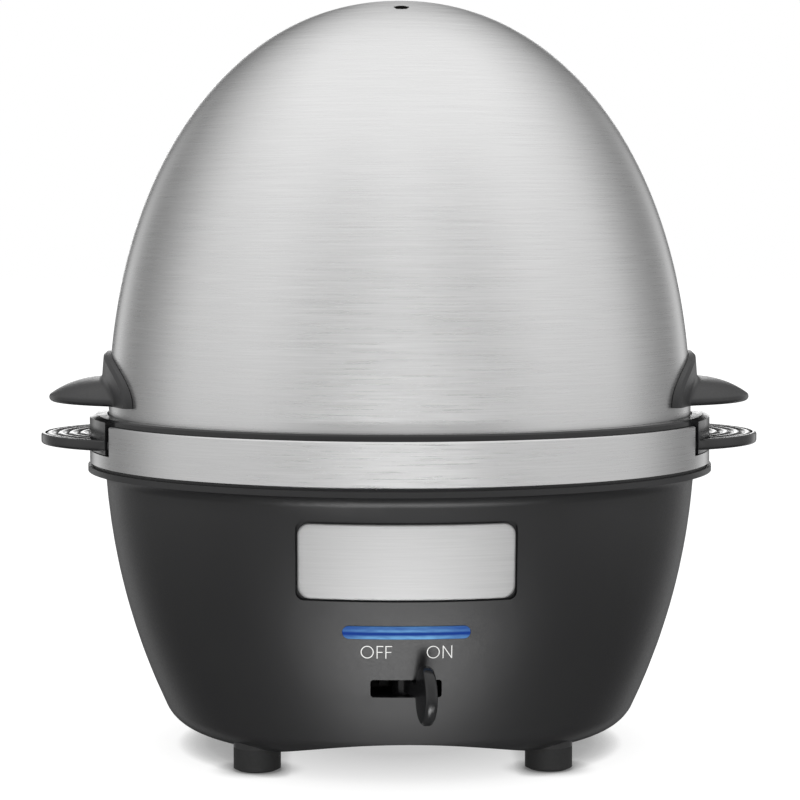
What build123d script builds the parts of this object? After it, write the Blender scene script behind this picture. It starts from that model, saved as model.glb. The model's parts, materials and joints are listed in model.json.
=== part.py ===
from build123d import *
import math
import os

# An electric egg cooker, in millimetres. The origin is on the table under the middle of the base,
# +Z is up, the front with the lever is -Y, and the carrying grips lie along X.

# Clearances
SEAT_GAP = 0.3          # between a lift-off piece and what it rests on
SLIDE_FIT = 0.4         # round a piece that drops into another
SNUG_FIT = 0.1          # round a piece that is fixed in its place
PIN_FIT = 0.05          # radial, lever on its pin

# Lid: sheet steel dome, an upright edge that closes to a rounded crown
DOME_R = 77.0
DOME_H = 110.0
DOME_SHEET = 0.8
DOME_SIDE_PULL = 64.0   # height over which the side leaves the vertical
DOME_CROWN_PULL = 46.0  # breadth over which the crown leaves the horizontal
VENT_R = 1.8
VENT_FORWARD = 20.0

# Lid handles: an arched pad on the dome and a round wing
PAD_T = 2.0
PAD_HALF_W = 36.0
PAD_H = 13.0
PAD_FOOT_H = 5.0        # underside of the handle above the dome's edge
WING_REACH = 15.8       # tip beyond the dome's edge radius
WING_R = 30.6
WING_EDGE_T = 1.8
WING_SHOULDER_R = 23.8
WING_SHOULDER_H = 5.1
WING_CROWN_R = 17.2
WING_CROWN_H = 6.1
WING_FILLET = 1.4
PAD_BEVEL = 0.7
HANDLE_SCREW_D = 3.0
HANDLE_SCREW_HEAD_D = 6.0
HANDLE_SCREW_HEAD_H = 2.0
HANDLE_SCREW_L = 6.0
HANDLE_SCREW_ANGLE = 8.0
HANDLE_SCREW_Z = 3.0    # above the handle's underside

# Lower rack
RIM_WALL = 1.2
RIM_H = 1.7
RIM_OVERLAP = 1.9       # how far the rim reaches over the collar
LID_SEAT_DEPTH = 2.2
LEDGE_W = 3.0
LEDGE_T = 2.0
RACK_WALL = 2.0
RACK_DEPTH = 8.4        # rim top down to the underside of the egg plate
RACK_PLATE_T = 2.0
EGG_IN = 27.4           # egg circle inside the rack's wall
EGG_WEB = 13.0          # plate left between two egg holes
EGG_SEAT_W = 2.4
EGG_SEAT_H = 2.0
STEAM_HOLE_R = 3.0
LUG_ANGLE = 25.0        # half the angle that each side notch spans
LUG_T = 2.6
LUG_SIDE_GAP = 2.8
LUG_TOP_FALL = 0.6
GRIP_REACH = 13.0       # grip tip beyond the lug's face
GRIP_T = 2.8
GRIP_DROP = 5.2         # grip's top below the rim's top
GRIP_RIM = 1.0
RIB_PITCH = 2.9
RIB_COUNT = 4
RIB_R = 1.3
RIB_H = 1.0             # ribs above the grip's sunk face

# Upper rack
UPPER_RACK_H = 50.0     # its plate above the lower rack's plate
UPPER_RACK_IN = 14.0    # its edge inside the lid's edge
LEG_IN = 5.0            # leg circle inside its edge
LEG_FOOT_R = 3.4
LEG_TOP_R = 4.6
LEG_POCKET_WALL = 1.8
LEG_POCKET_H = 2.2
UPPER_MID_HOLE_R = 5.0

# Trim band and collar of the housing
COLLAR_WALL = 1.9
BAND_T = 1.0
BAND_H = 11.1
BAND_PROUD = 0.4        # band's top above the collar's top
BAND_STRIP_H = 3.5      # band left below each notch
BAND_EDGE = 0.25

# Housing
LIP_STEP = 0.5
LIP_OVERHANG = 4.8
LIP_RISE = 3.0
LIP_EDGE_H = 1.5
LIP_GROOVE = 0.6
BODY_H = 59.1
BODY_TAPER = 15.4
BODY_BOW = 2.75
WALL = 2.4
TURN_H = 5.9            # height of the rounding into the floor
TURN_W = 9.2
FLOOR_Z = 5.6
ARCH_HALF_W = 34.0
ARCH_RISE = 5.2
SHELF_W = 11.0          # inner shelf that carries the heating plate
SHELF_BELOW_BAND = 2.0
BOSS_R = 4.0
BOSS_H = 14.0
RIB_T = 2.4

# Feet and bottom cover
FOOT_R = 6.0
FOOT_H = 6.0
FOOT_CHAMFER = 1.2
FOOT_PEG_R = 2.5
FOOT_PEG_H = 5.0
FOOT_ANGLE = 45.8
COLUMN_H = 10.0
COVER_T = 2.4
COVER_SCREW_ANGLE = 17.0
COVER_SCREW_IN = 4.6    # screw circle inside the cover's edge
COVER_SCREW_D = 3.0
COVER_SCREW_HEAD_D = 5.6
COVER_SCREW_L = 11.0

# Front face
BADGE_W = 52.3
BADGE_H = 18.5
BADGE_Z = 57.5
BADGE_CORNER = 1.5
BADGE_SINK = 0.7
BADGE_PROUD = 0.5
BADGE_GAP = 0.5
LENS_W = 30.8
LENS_H = 3.1
LENS_Z = 40.1
LENS_PROUD = 0.3
LENS_FLANGE = 1.2
SLOT_W = 17.3
SLOT_H = 4.6
LEVER_Z = 25.8

# Lever and switch
PIVOT_BACK = 8.9        # pivot behind the housing's outer face
LEVER_ON_ANGLE = 17.0
ARM_W = 3.0
ARM_H = 3.4
HUB_R = 3.6
HUB_H = 5.0
PIN_R = 1.5
CLIP_R = 3.0
CLIP_T = 0.8
TAB_STANDOFF = 2.2
TAB_DEPTH = 10.0
TAB_H = 14.4
TAB_T = 3.0
TAB_DROP = 0.6          # tab's middle below the arm
TAB_EDGE_R = 1.2
TAIL_L = 7.0
TAIL_W = 2.0
KNOB_R = 1.7
FORK_FIT = 0.25
PRONG_W = 2.3
PRONG_L = 3.6
SLIDER_BRIDGE = 1.4
SLIDER_TONGUE = 4.2
SWITCH_W = 24.0
SWITCH_D = 13.0
SWITCH_H = 10.2
TRAY_T = 2.4
TRAY_W = 44.0
TRAY_BACK = 4.0         # tray behind the switch
TRAY_SCREW_X = 17.0
TRAY_SCREW_BACK = 9.5   # tray screws behind the pivot
TRAY_BOSS_R = 3.5
TRAY_BOSS_H = 7.2
TRAY_SCREW_D = 2.6
TRAY_SCREW_HEAD_D = 5.0
TRAY_SCREW_HEAD_H = 1.8
TRAY_SCREW_L = 7.0
BLADE_W = 6.3
BLADE_T = 0.8
BLADE_L = 8.0
BLADE_PITCH = 11.0

# Light board
BOARD_EDGE = 1.4        # board beyond the lens's flange at each end
BOARD_H = 14.0
BOARD_T = 1.6
BOARD_BACK = 8.6        # board's front behind the housing's outer face
BOARD_GROOVE = 1.0
BOARD_GUIDE_W = 3.0
BOARD_GUIDE_D = 5.0
LED_W = 3.0
LED_H = 2.8
LED_D = 1.8
LED_PITCH = 9.0
BUZZER_R = 5.0
BUZZER_D = 6.0
BUZZER_IN = 10.0        # sounder's axis in from the board's right end

# Heating plate and what hangs under it
SEAL_T = 1.2
SEAL_W = 3.6
PLATE_SHEET = 0.8
PLATE_RIM_H = 3.6
PLATE_RIM_GAP = 1.0
DISH_DEPTH = 8.4
DISH_FLANGE_W = 10.8
DISH_TAPER = 5.2
STUD_R = 1.5
STUD_L = 8.0
STUD_IN = 3.0           # stud circle outside the shelf's edge
NUT_R = 3.2
NUT_H = 2.4
ELEMENT_R = 42.0
ELEMENT_TUBE_R = 3.3
ELEMENT_FLAT = 0.5
ELEMENT_ARC = 320.0
ELEMENT_PIN_R = 2.0
ELEMENT_PIN_L = 13.0
THERMOSTAT_R = 8.0
THERMOSTAT_H = 8.0
STRAP_L = 58.0
STRAP_W = 14.0
STRAP_T = 1.2
STRAP_STUD_X = 24.0
STRAP_STUD_R = 2.0
STRAP_STUD_L = 14.0
STRAP_NUT_R = 4.0
STRAP_NUT_H = 3.2
FUSE_R = 2.4
FUSE_L = 12.0
FUSE_X = 14.0
FUSE_FLAT = 0.6

# Rear inlet and terminals
GLAND_Z = 22.0
GLAND_R = 5.4
GLAND_FLANGE_R = 7.5
GLAND_FLANGE_T = 2.2
GLAND_NUT_R = 7.0
GLAND_NUT_T = 3.0
GLAND_BORE_R = 3.2
BLOCK_W = 22.0
BLOCK_D = 12.0
BLOCK_H = 9.0
BLOCK_Y = 26.0
BLOCK_HOLE_R = 1.8
BLOCK_PITCH = 10.0
PEDESTAL_H = 1.2

# Radii that follow from the lid's edge outwards
rim_in = DOME_R + SLIDE_FIT
rack_out = rim_in + RIM_WALL
egg_pitch = rim_in - LEDGE_W - EGG_IN
egg_hole_r = (egg_pitch - EGG_WEB) / 2
seat_r = egg_hole_r + EGG_SEAT_W
steam_pitch = egg_pitch / math.sqrt(3)
upper_rack_r = DOME_R - UPPER_RACK_IN
leg_pitch = upper_rack_r - LEG_IN
collar_in = rack_out + SLIDE_FIT
collar_out = collar_in + COLLAR_WALL
band_in = collar_out + PIN_FIT
band_out = band_in + BAND_T
lip_r = band_out + LIP_STEP
body_top_r = lip_r - LIP_OVERHANG
body_low_r = body_top_r - BODY_TAPER
bottom_r = body_low_r - TURN_W
shelf_in = collar_in - SHELF_W
cover_r = bottom_r - SLIDE_FIT

# Heights that follow from the floor upwards
body_low_z = FLOOR_Z + TURN_H
body_top_z = body_low_z + BODY_H
lip_low_z = body_top_z + LIP_RISE
lip_top_z = lip_low_z + LIP_EDGE_H
band_low_z = lip_top_z + LIP_GROOVE
band_top_z = band_low_z + BAND_H
collar_top_z = band_top_z - BAND_PROUD
notch_z = band_low_z + BAND_STRIP_H
shelf_z = band_low_z - SHELF_BELOW_BAND
rim_low_z = collar_top_z + SEAT_GAP
rim_top_z = rim_low_z + RIM_H
lid_seat_z = rim_top_z - LID_SEAT_DEPTH
dome_edge_z = lid_seat_z + SEAT_GAP
dome_top_z = dome_edge_z + DOME_H
rack_low_z = rim_top_z - RACK_DEPTH
rack_top_z = rack_low_z + RACK_PLATE_T
flange_z = shelf_z + SEAL_T
dish_low_z = flange_z - DISH_DEPTH
cover_z = FLOOR_Z + COVER_T

# Housing wall arc: its centre and radius in the radius and height plane
chord = math.hypot(BODY_TAPER, BODY_H)
arc_r = (chord ** 2 / 4 + BODY_BOW ** 2) / (2 * BODY_BOW)
arc_x = (body_top_r + body_low_r) / 2 + (BODY_BOW - arc_r) * BODY_H / chord
arc_z = (body_top_z + body_low_z) / 2 - (BODY_BOW - arc_r) * BODY_TAPER / chord

MIN_Z = (Align.CENTER, Align.CENTER, Align.MIN)
MAX_Z = (Align.CENTER, Align.CENTER, Align.MAX)
SIDES = {"left": -1, "right": 1}


def wall_radius(z, offset=0.0):
    """Radius of the housing's wall at a height, moved off the outer face by an offset."""
    return arc_x + math.sqrt((arc_r + offset) ** 2 - (z - arc_z) ** 2)


def wall_arc(z_from, z_to, offset=0.0):
    """Edge of the wall arc between two heights."""
    heights = (z_from, (z_from + z_to) / 2, z_to)
    return ThreePointArc(*[(wall_radius(z, offset), z) for z in heights])


def turned(edges):
    """Solid of revolution about Z from the edges of a closed (radius, height) outline."""
    return revolve(Plane.XZ * make_face(edges), Axis.Z, 360)


def turned_points(points):
    """Solid of revolution about Z from the corners of a (radius, height) outline."""
    return turned(Polyline(*points, close=True))


def disc(radius, z_from, z_to, x=0.0, y=0.0):
    """Upright cylinder between two heights."""
    return Pos(x, y, z_from) * Cylinder(radius, z_to - z_from, align=MIN_Z)


def block(x_from, x_to, y_from, y_to, z_from, z_to):
    """Box between two corners."""
    size = (x_to - x_from, y_to - y_from, z_to - z_from)
    middle = ((x_from + x_to) / 2, (y_from + y_to) / 2, (z_from + z_to) / 2)
    return Pos(*middle) * Box(*size)


def spots(radius, angles):
    """Points on a circle about Z."""
    return [(radius * math.cos(math.radians(a)), radius * math.sin(math.radians(a))) for a in angles]


def sector(radius, half_angle, z_from, z_to, side):
    """Wedge about the X axis on one side, wide enough to cut a ring."""
    reach = radius / math.cos(math.radians(half_angle))
    points = [(0, 0)] + spots(reach, (-half_angle, half_angle))
    wedge = extrude(make_face(Polyline(*points, close=True)), z_to - z_from)
    return Rot(0, 0, 0 if side > 0 else 180) * Pos(0, 0, z_from) * wedge


def front_prism(sketch, z):
    """A sketch on the front of the object, run through the front half of the housing."""
    return Pos(0, 0, z) * extrude(Plane.XZ * sketch, lip_r)


def wall_skin(low, high, z_from, z_to):
    """Turned layer of the housing's wall between two offsets from its outer face."""
    outer = wall_arc(z_from, z_to, high)
    inner = wall_arc(z_to, z_from, low)
    return turned([outer, Line(outer @ 1, inner @ 0), inner, Line(inner @ 1, outer @ 0)])


def housing_core(offset):
    """Everything inside the housing's wall, moved off the outer face by an offset."""
    low = (wall_radius(body_low_z, offset), body_low_z)
    side = wall_arc(body_low_z, body_top_z, offset)
    turn = TangentArc(low, (bottom_r, FLOOR_Z - offset), tangent=side % 0 * -1)
    top = Polyline(side @ 1, (0, body_top_z), (0, FLOOR_Z - offset), turn @ 1)
    return turned([side, turn, top])


def arch_edge(lift):
    """Lower edge of the arched floor, as an arc over the arch's width."""
    return ThreePointArc(
        (-ARCH_HALF_W, FLOOR_Z + lift), (0, FLOOR_Z + ARCH_RISE + lift), (ARCH_HALF_W, FLOOR_Z + lift)
    )


def vault():
    """Slab with the floor's thickness that follows the arch from front to rear."""
    reach = lip_r
    low = arch_edge(0)
    high = arch_edge(COVER_T)
    right = Polyline(low @ 1, (reach, FLOOR_Z), (reach, cover_z), high @ 1)
    left = Polyline(low @ 0, (-reach, FLOOR_Z), (-reach, cover_z), high @ 0)
    return extrude(Plane.XZ * make_face([low, right, high, left]), reach, both=True)


def arch_cut():
    """Space under the arch."""
    low = arch_edge(0)
    sill = Polyline(low @ 0, (-ARCH_HALF_W, 0), (ARCH_HALF_W, 0), low @ 1)
    return extrude(Plane.XZ * make_face([low, sill]), lip_r, both=True)


FOOT_SPOTS = {
    "front_left": spots(bottom_r, [180 + FOOT_ANGLE])[0],
    "front_right": spots(bottom_r, [-FOOT_ANGLE])[0],
    "rear_left": spots(bottom_r, [180 - FOOT_ANGLE])[0],
    "rear_right": spots(bottom_r, [FOOT_ANGLE])[0],
}
COVER_SCREW_ANGLES = [
    COVER_SCREW_ANGLE, 180 - COVER_SCREW_ANGLE, 180 + COVER_SCREW_ANGLE, -COVER_SCREW_ANGLE
]
cover_screw_r = cover_r - COVER_SCREW_IN
plate_stud_spots = spots(shelf_in + STUD_IN, (90, 210, 330))
pivot_y = PIVOT_BACK - wall_radius(LEVER_Z)
tray_top_z = LEVER_Z - HUB_H / 2 - SEAT_GAP
tray_low_z = tray_top_z - TRAY_T
tray_screw_spots = [(side * TRAY_SCREW_X, pivot_y + TRAY_SCREW_BACK) for side in SIDES.values()]
board_y = BOARD_BACK - wall_radius(LENS_Z)
board_end = LENS_W / 2 + LENS_FLANGE + BOARD_EDGE
board_low_z = LENS_Z - BOARD_H / 2


def side_notches(z_from, half_angle):
    """The two wedges where the rack's lugs pass the band and the collar."""
    top = rim_top_z
    return [sector(lip_r, half_angle, z_from, top, side) for side in SIDES.values()]


def base_shell():
    """Moulded housing: bowed wall, lip, collar, shelf, arched floor, columns and bosses."""
    side = wall_arc(body_low_z, body_top_z)
    turn = TangentArc(side @ 0, (bottom_r, FLOOR_Z), tangent=side % 0 * -1)
    inner = wall_arc(body_low_z, body_top_z, -WALL)
    inner_turn = TangentArc(inner @ 0, (bottom_r, FLOOR_Z + WALL), tangent=inner % 0 * -1)
    flare = TangentArc(side @ 1, (lip_r, lip_low_z), tangent=side % 1)
    groove_r = band_out - LIP_GROOVE
    shelf_low_z = shelf_z - WALL
    crown = Polyline(
        flare @ 1,
        (lip_r, lip_top_z),
        (groove_r, lip_top_z),
        (groove_r, band_low_z),
        (collar_out, band_low_z),
        (collar_out, collar_top_z),
        (collar_in, collar_top_z),
        (collar_in, shelf_z),
        (shelf_in, shelf_z),
        (shelf_in, shelf_low_z),
        ((inner @ 1).X, shelf_low_z),
        inner @ 1,
    )
    heel = Line(turn @ 1, inner_turn @ 1)
    shell = turned([side, turn, heel, inner_turn, inner, flare, crown])
    shell -= side_notches(notch_z, LUG_ANGLE)
    shell -= arch_cut()
    inside = housing_core(-WALL / 2)
    shell += (vault() - disc(bottom_r, 0, lip_r)) & inside

    # Foot columns, cover bosses with ribs to the wall, tray bosses with ribs to the front
    for x, y in FOOT_SPOTS.values():
        shell -= disc(FOOT_R + SNUG_FIT, 0, FOOT_H, x, y)
        shell += disc(FOOT_R, FOOT_H, FOOT_H + COLUMN_H, x, y)
        shell -= disc(FOOT_PEG_R + SNUG_FIT, FOOT_H, FOOT_H + FOOT_PEG_H + SNUG_FIT, x, y)
    rib_box = block(cover_screw_r, body_top_r, -RIB_T / 2, RIB_T / 2, cover_z, cover_z + BOSS_H)
    for angle, (x, y) in zip(COVER_SCREW_ANGLES, spots(cover_screw_r, COVER_SCREW_ANGLES)):
        shell += (Rot(0, 0, angle) * rib_box) & inside
        shell += disc(BOSS_R, cover_z, cover_z + BOSS_H, x, y)
        shell -= disc(COVER_SCREW_D / 2 + SNUG_FIT, cover_z, FLOOR_Z + COVER_SCREW_L + SNUG_FIT, x, y)
    for x, y in tray_screw_spots:
        rib = block(x - RIB_T / 2, x + RIB_T / 2, -lip_r, y, tray_top_z, tray_top_z + TRAY_BOSS_H)
        shell += rib & inside
        shell += disc(TRAY_BOSS_R, tray_top_z, tray_top_z + TRAY_BOSS_H, x, y)
        depth = TRAY_SCREW_L - TRAY_T + SNUG_FIT
        shell -= disc(TRAY_SCREW_D / 2 + SNUG_FIT, tray_top_z, tray_top_z + depth, x, y)

    # Grooved guides that hold the light board's ends
    for side_sign in SIDES.values():
        near = side_sign * (board_end - BOARD_GROOVE)
        far = side_sign * (board_end - BOARD_GROOVE + BOARD_GUIDE_W)
        guide = block(
            min(near, far), max(near, far), -lip_r, board_y + BOARD_GUIDE_D,
            board_low_z, board_low_z + BOARD_H + BOARD_GROOVE,
        )
        shell += guide & inside
    shell -= block(
        -board_end - SNUG_FIT, board_end + SNUG_FIT, board_y - SNUG_FIT,
        board_y + BOARD_T + SNUG_FIT, board_low_z, board_low_z + BOARD_H + SNUG_FIT,
    )

    # Openings in the wall: lever slot, lens window, badge recess, cord inlet, plate studs
    shell -= front_prism(RectangleRounded(SLOT_W, SLOT_H, SLOT_H / 6), LEVER_Z)
    shell -= front_prism(SlotOverall(LENS_W + 2 * SNUG_FIT, LENS_H + 2 * SNUG_FIT), LENS_Z)
    shell -= badge_blank(BADGE_GAP, -BADGE_SINK, WALL)
    shell -= Pos(0, 0, GLAND_Z) * Rot(-90, 0, 0) * Cylinder(GLAND_R + SNUG_FIT, lip_r, align=MIN_Z)
    for x, y in plate_stud_spots:
        shell -= disc(STUD_R + 2 * SNUG_FIT, shelf_low_z, shelf_z, x, y)
    return shell


def badge_blank(margin, low, high):
    """Rounded plate that follows the housing's front, grown by a margin."""
    outline = RectangleRounded(BADGE_W + 2 * margin, BADGE_H + 2 * margin, BADGE_CORNER + margin)
    return wall_skin(low, high, BADGE_Z - BADGE_H, body_top_z) & front_prism(outline, BADGE_Z)


def steel_band():
    """Trim band with turned edges and a notch on each side for the rack's lugs."""
    points = [
        (band_in, band_low_z),
        (band_out - BAND_EDGE, band_low_z),
        (band_out, band_low_z + BAND_EDGE),
        (band_out, band_top_z - BAND_EDGE),
        (band_out - BAND_EDGE, band_top_z),
        (band_in, band_top_z),
    ]
    return turned_points(points) - side_notches(notch_z, LUG_ANGLE)


def indicator_lens():
    """Light bar that passes the wall, with a flange behind it."""
    margin = LENS_FLANGE
    z_from = LENS_Z - LENS_H
    z_to = LENS_Z + LENS_H
    bar = wall_skin(-WALL, LENS_PROUD, z_from, z_to) & front_prism(SlotOverall(LENS_W, LENS_H), LENS_Z)
    flange_shape = SlotOverall(LENS_W + 2 * margin, LENS_H + 2 * margin)
    flange = wall_skin(-WALL - margin, -WALL, z_from, z_to) & front_prism(flange_shape, LENS_Z)
    return bar + flange


def light_board():
    """Circuit board that stands in the two guides."""
    return block(
        -board_end, board_end, board_y, board_y + BOARD_T, board_low_z, board_low_z + BOARD_H
    )


def indicator_leds():
    """Row of lamps on the board's front."""
    lamps = []
    for step in (-1, 0, 1):
        x = step * LED_PITCH
        lamp = block(
            x - LED_W / 2, x + LED_W / 2, board_y - LED_D, board_y, LENS_Z - LED_H / 2, LENS_Z + LED_H / 2
        )
        lamps.append(lamp)
    return lamps


def buzzer():
    """Round sounder with a small port on the board's back."""
    back = Pos(board_end - BUZZER_IN, board_y + BOARD_T, LENS_Z) * Rot(-90, 0, 0)
    can = back * Cylinder(BUZZER_R, BUZZER_D, align=MIN_Z)
    port = back * Pos(0, 0, BUZZER_D) * Cylinder(BUZZER_R / 5, BUZZER_D / 3, align=MAX_Z)
    return can - port


def heating_plate():
    """Sheet steel dish for the water, with a flange, an upright rim and weld studs underneath."""
    rim_out = collar_in - PLATE_RIM_GAP
    wall_top = rim_out - DISH_FLANGE_W
    floor_r = wall_top - DISH_TAPER
    sheet = PLATE_SHEET
    points = [
        (0, dish_low_z),
        (floor_r, dish_low_z),
        (wall_top, flange_z),
        (rim_out, flange_z),
        (rim_out, flange_z + PLATE_RIM_H),
        (rim_out - sheet, flange_z + PLATE_RIM_H),
        (rim_out - sheet, flange_z + sheet),
        (wall_top - sheet / 2, flange_z + sheet),
        (floor_r - sheet / 2, dish_low_z + sheet),
        (0, dish_low_z + sheet),
    ]
    plate = turned_points(points)
    for x, y in plate_stud_spots:
        plate += disc(STUD_R, flange_z - STUD_L, flange_z, x, y)
    for side in SIDES.values():
        plate += disc(STRAP_STUD_R, dish_low_z - STRAP_STUD_L, dish_low_z, side * STRAP_STUD_X)
    return plate


def plate_seal():
    """Flat ring between the shelf and the dish's flange."""
    outer = collar_in - PLATE_RIM_GAP
    return disc(outer, shelf_z, flange_z) - disc(outer - SEAL_W, shelf_z, flange_z)


def hex_nut(across_corners, bore_r, z_from, height, x, y):
    """Plain nut on a stud."""
    body = extrude(RegularPolygon(across_corners, 6), height)
    return Pos(x, y, z_from) * body - disc(bore_r, z_from, z_from + height, x, y)


def plate_nuts():
    """Nuts under the shelf."""
    z_from = shelf_z - WALL - NUT_H
    return [hex_nut(NUT_R, STUD_R + PIN_FIT, z_from, NUT_H, x, y) for x, y in plate_stud_spots]


def heating_element():
    """Round tube under the dish, flat where it is brazed on, with two upright end pins."""
    centre_z = dish_low_z - ELEMENT_TUBE_R + ELEMENT_FLAT
    section = Plane.XZ * Pos(ELEMENT_R, centre_z) * Circle(ELEMENT_TUBE_R)
    start = 270 + (360 - ELEMENT_ARC) / 2
    tube = Rot(0, 0, start) * revolve(section, Axis.Z, ELEMENT_ARC)
    for x, y in spots(ELEMENT_R, (start, start + ELEMENT_ARC)):
        tube += Pos(x, y, centre_z) * Sphere(ELEMENT_TUBE_R)
        tube += disc(ELEMENT_PIN_R, centre_z - ELEMENT_PIN_L, centre_z, x, y)
    return tube - disc(ELEMENT_R * 2, dish_low_z, dish_low_z + ELEMENT_TUBE_R)


strap_top_z = dish_low_z - THERMOSTAT_H


def thermostat():
    """Round switch pressed to the middle of the dish, with a groove round its body."""
    body = disc(THERMOSTAT_R, strap_top_z, dish_low_z)
    groove = disc(THERMOSTAT_R, strap_top_z, dish_low_z) - disc(THERMOSTAT_R * 0.9, strap_top_z, dish_low_z)
    middle = strap_top_z + THERMOSTAT_H / 2
    return body - (groove & disc(THERMOSTAT_R, middle, middle + THERMOSTAT_H / 6))


def sensor_bracket():
    """Strap across the two middle studs."""
    outline = SlotOverall(STRAP_L, STRAP_W)
    strap = Pos(0, 0, strap_top_z - STRAP_T) * extrude(outline, STRAP_T)
    for side in SIDES.values():
        strap -= disc(STRAP_STUD_R + SNUG_FIT, strap_top_z - STRAP_T, strap_top_z, side * STRAP_STUD_X)
    return strap


def bracket_nuts():
    """Nuts under the strap."""
    z_from = strap_top_z - STRAP_T - STRAP_NUT_H
    bore = STRAP_STUD_R + PIN_FIT
    return [hex_nut(STRAP_NUT_R, bore, z_from, STRAP_NUT_H, s * STRAP_STUD_X, 0) for s in SIDES.values()]


def thermal_fuse():
    """Sleeved fuse lying across the strap, flat underneath."""
    axis_z = strap_top_z + FUSE_R - FUSE_FLAT
    sleeve = Pos(FUSE_X, 0, axis_z) * Rot(90, 0, 0) * Cylinder(FUSE_R, FUSE_L)
    under = block(FUSE_X - FUSE_R, FUSE_X + FUSE_R, -FUSE_L, FUSE_L, strap_top_z - FUSE_R, strap_top_z)
    return sleeve - under


switch_front_y = pivot_y + TAIL_L + KNOB_R + SLIDER_BRIDGE + FORK_FIT
switch_back_y = switch_front_y + SWITCH_D
knob_travel = TAIL_L * math.sin(math.radians(LEVER_ON_ANGLE))
switch_screw_x = SWITCH_W / 2 - TRAY_SCREW_D
switch_screw_spots = [(side * switch_screw_x, switch_back_y - TRAY_SCREW_D) for side in SIDES.values()]


def switch_bracket():
    """Tray under the lever and the switch, trimmed to the housing's front."""
    tray = block(-TRAY_W / 2, TRAY_W / 2, -lip_r, switch_back_y + TRAY_BACK, tray_low_z, tray_top_z)
    tray = tray & housing_core(-WALL - SEAT_GAP)
    for x, y in tray_screw_spots + switch_screw_spots:
        tray -= disc(TRAY_SCREW_D / 2 + SNUG_FIT, tray_low_z, tray_top_z, x, y)
    return tray - disc(PIN_R + SNUG_FIT / 2, tray_low_z, tray_top_z, 0, pivot_y)


def pan_screw(x, y, z):
    """Screw driven upwards, with its head's seat at a height."""
    head = Pos(x, y, z) * Cylinder(TRAY_SCREW_HEAD_D / 2, TRAY_SCREW_HEAD_H, align=MAX_Z)
    return head + disc(TRAY_SCREW_D / 2, z, z + TRAY_SCREW_L, x, y)


def bracket_screws():
    """Screws that hold the tray to the housing and the switch to the tray."""
    return [pan_screw(x, y, tray_low_z) for x, y in tray_screw_spots + switch_screw_spots]


clip_z = LEVER_Z + HUB_H / 2 + SEAT_GAP


def lever_pin():
    """Upright pin that the lever turns on, headed under the tray."""
    shank = disc(PIN_R, tray_low_z, clip_z + 2 * CLIP_T, 0, pivot_y)
    head = Pos(0, pivot_y, tray_low_z) * Cylinder(2 * PIN_R, CLIP_T, align=MAX_Z)
    return shank + head


def pin_clip():
    """Open clip over the lever's hub."""
    ring = disc(CLIP_R, clip_z, clip_z + CLIP_T, 0, pivot_y)
    ring -= disc(PIN_R + PIN_FIT, clip_z, clip_z + CLIP_T, 0, pivot_y)
    return ring - block(-PIN_R, PIN_R, pivot_y, pivot_y + 2 * CLIP_R, clip_z, clip_z + CLIP_T)


def at_pivot(shape):
    """Places what is drawn straight ahead of the pivot at the lever's ON angle."""
    return Pos(0, pivot_y, LEVER_Z) * Rot(0, 0, LEVER_ON_ANGLE) * shape


def power_lever():
    """Arm on a hub, with an oval thumb tab in front and a tail with a round knob behind."""
    tab_y = -(PIVOT_BACK + TAB_STANDOFF + TAB_DEPTH / 2)
    tab = extrude(Plane.YZ * Ellipse(TAB_DEPTH / 2, TAB_H / 2), TAB_T / 2, both=True)
    tab = Pos(0, tab_y, -TAB_DROP) * fillet(tab.edges(), TAB_EDGE_R)
    lever = Cylinder(HUB_R, HUB_H)
    lever += block(-ARM_W / 2, ARM_W / 2, tab_y, 0, -ARM_H / 2, ARM_H / 2)
    lever += tab
    lever += block(-TAIL_W / 2, TAIL_W / 2, 0, TAIL_L, -ARM_H / 2, ARM_H / 2)
    lever += Pos(0, TAIL_L, 0) * Cylinder(KNOB_R, ARM_H)
    return at_pivot(lever - Cylinder(PIN_R + PIN_FIT, HUB_H))


def switch_slider():
    """Fork round the lever's knob, with a tongue in the switch."""
    half = KNOB_R + FORK_FIT + PRONG_W
    slot = KNOB_R + FORK_FIT
    fork_back_y = switch_front_y - SEAT_GAP
    bridge_y = fork_back_y - SLIDER_BRIDGE + SEAT_GAP
    fork = block(-half, half, bridge_y - PRONG_L, bridge_y, -ARM_H / 2, ARM_H / 2)
    fork -= block(-slot, slot, bridge_y - PRONG_L, bridge_y, -ARM_H / 2, ARM_H / 2)
    fork += block(-half, half, bridge_y, switch_front_y + SLIDER_TONGUE, -ARM_H / 2, ARM_H / 2)
    return Pos(-knob_travel, 0, LEVER_Z) * fork


def switch_housing():
    """Switch body with a cross channel for the slider's tongue."""
    body = block(
        -SWITCH_W / 2, SWITCH_W / 2, switch_front_y, switch_back_y, tray_top_z, tray_top_z + SWITCH_H
    )
    body = fillet(body.edges().filter_by(Axis.Y).group_by(Axis.Z)[-1], SWITCH_H / 10)
    half = KNOB_R + FORK_FIT + PRONG_W + knob_travel + SEAT_GAP
    channel_h = ARM_H / 2 + SEAT_GAP
    body -= block(
        -half, half, switch_front_y, switch_front_y + SLIDER_TONGUE + SEAT_GAP,
        LEVER_Z - channel_h, LEVER_Z + channel_h,
    )
    for x, y in switch_screw_spots:
        depth = TRAY_SCREW_L - TRAY_T + SNUG_FIT
        body -= disc(TRAY_SCREW_D / 2 + SNUG_FIT, tray_top_z, tray_top_z + depth, x, y)
    return body


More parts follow.
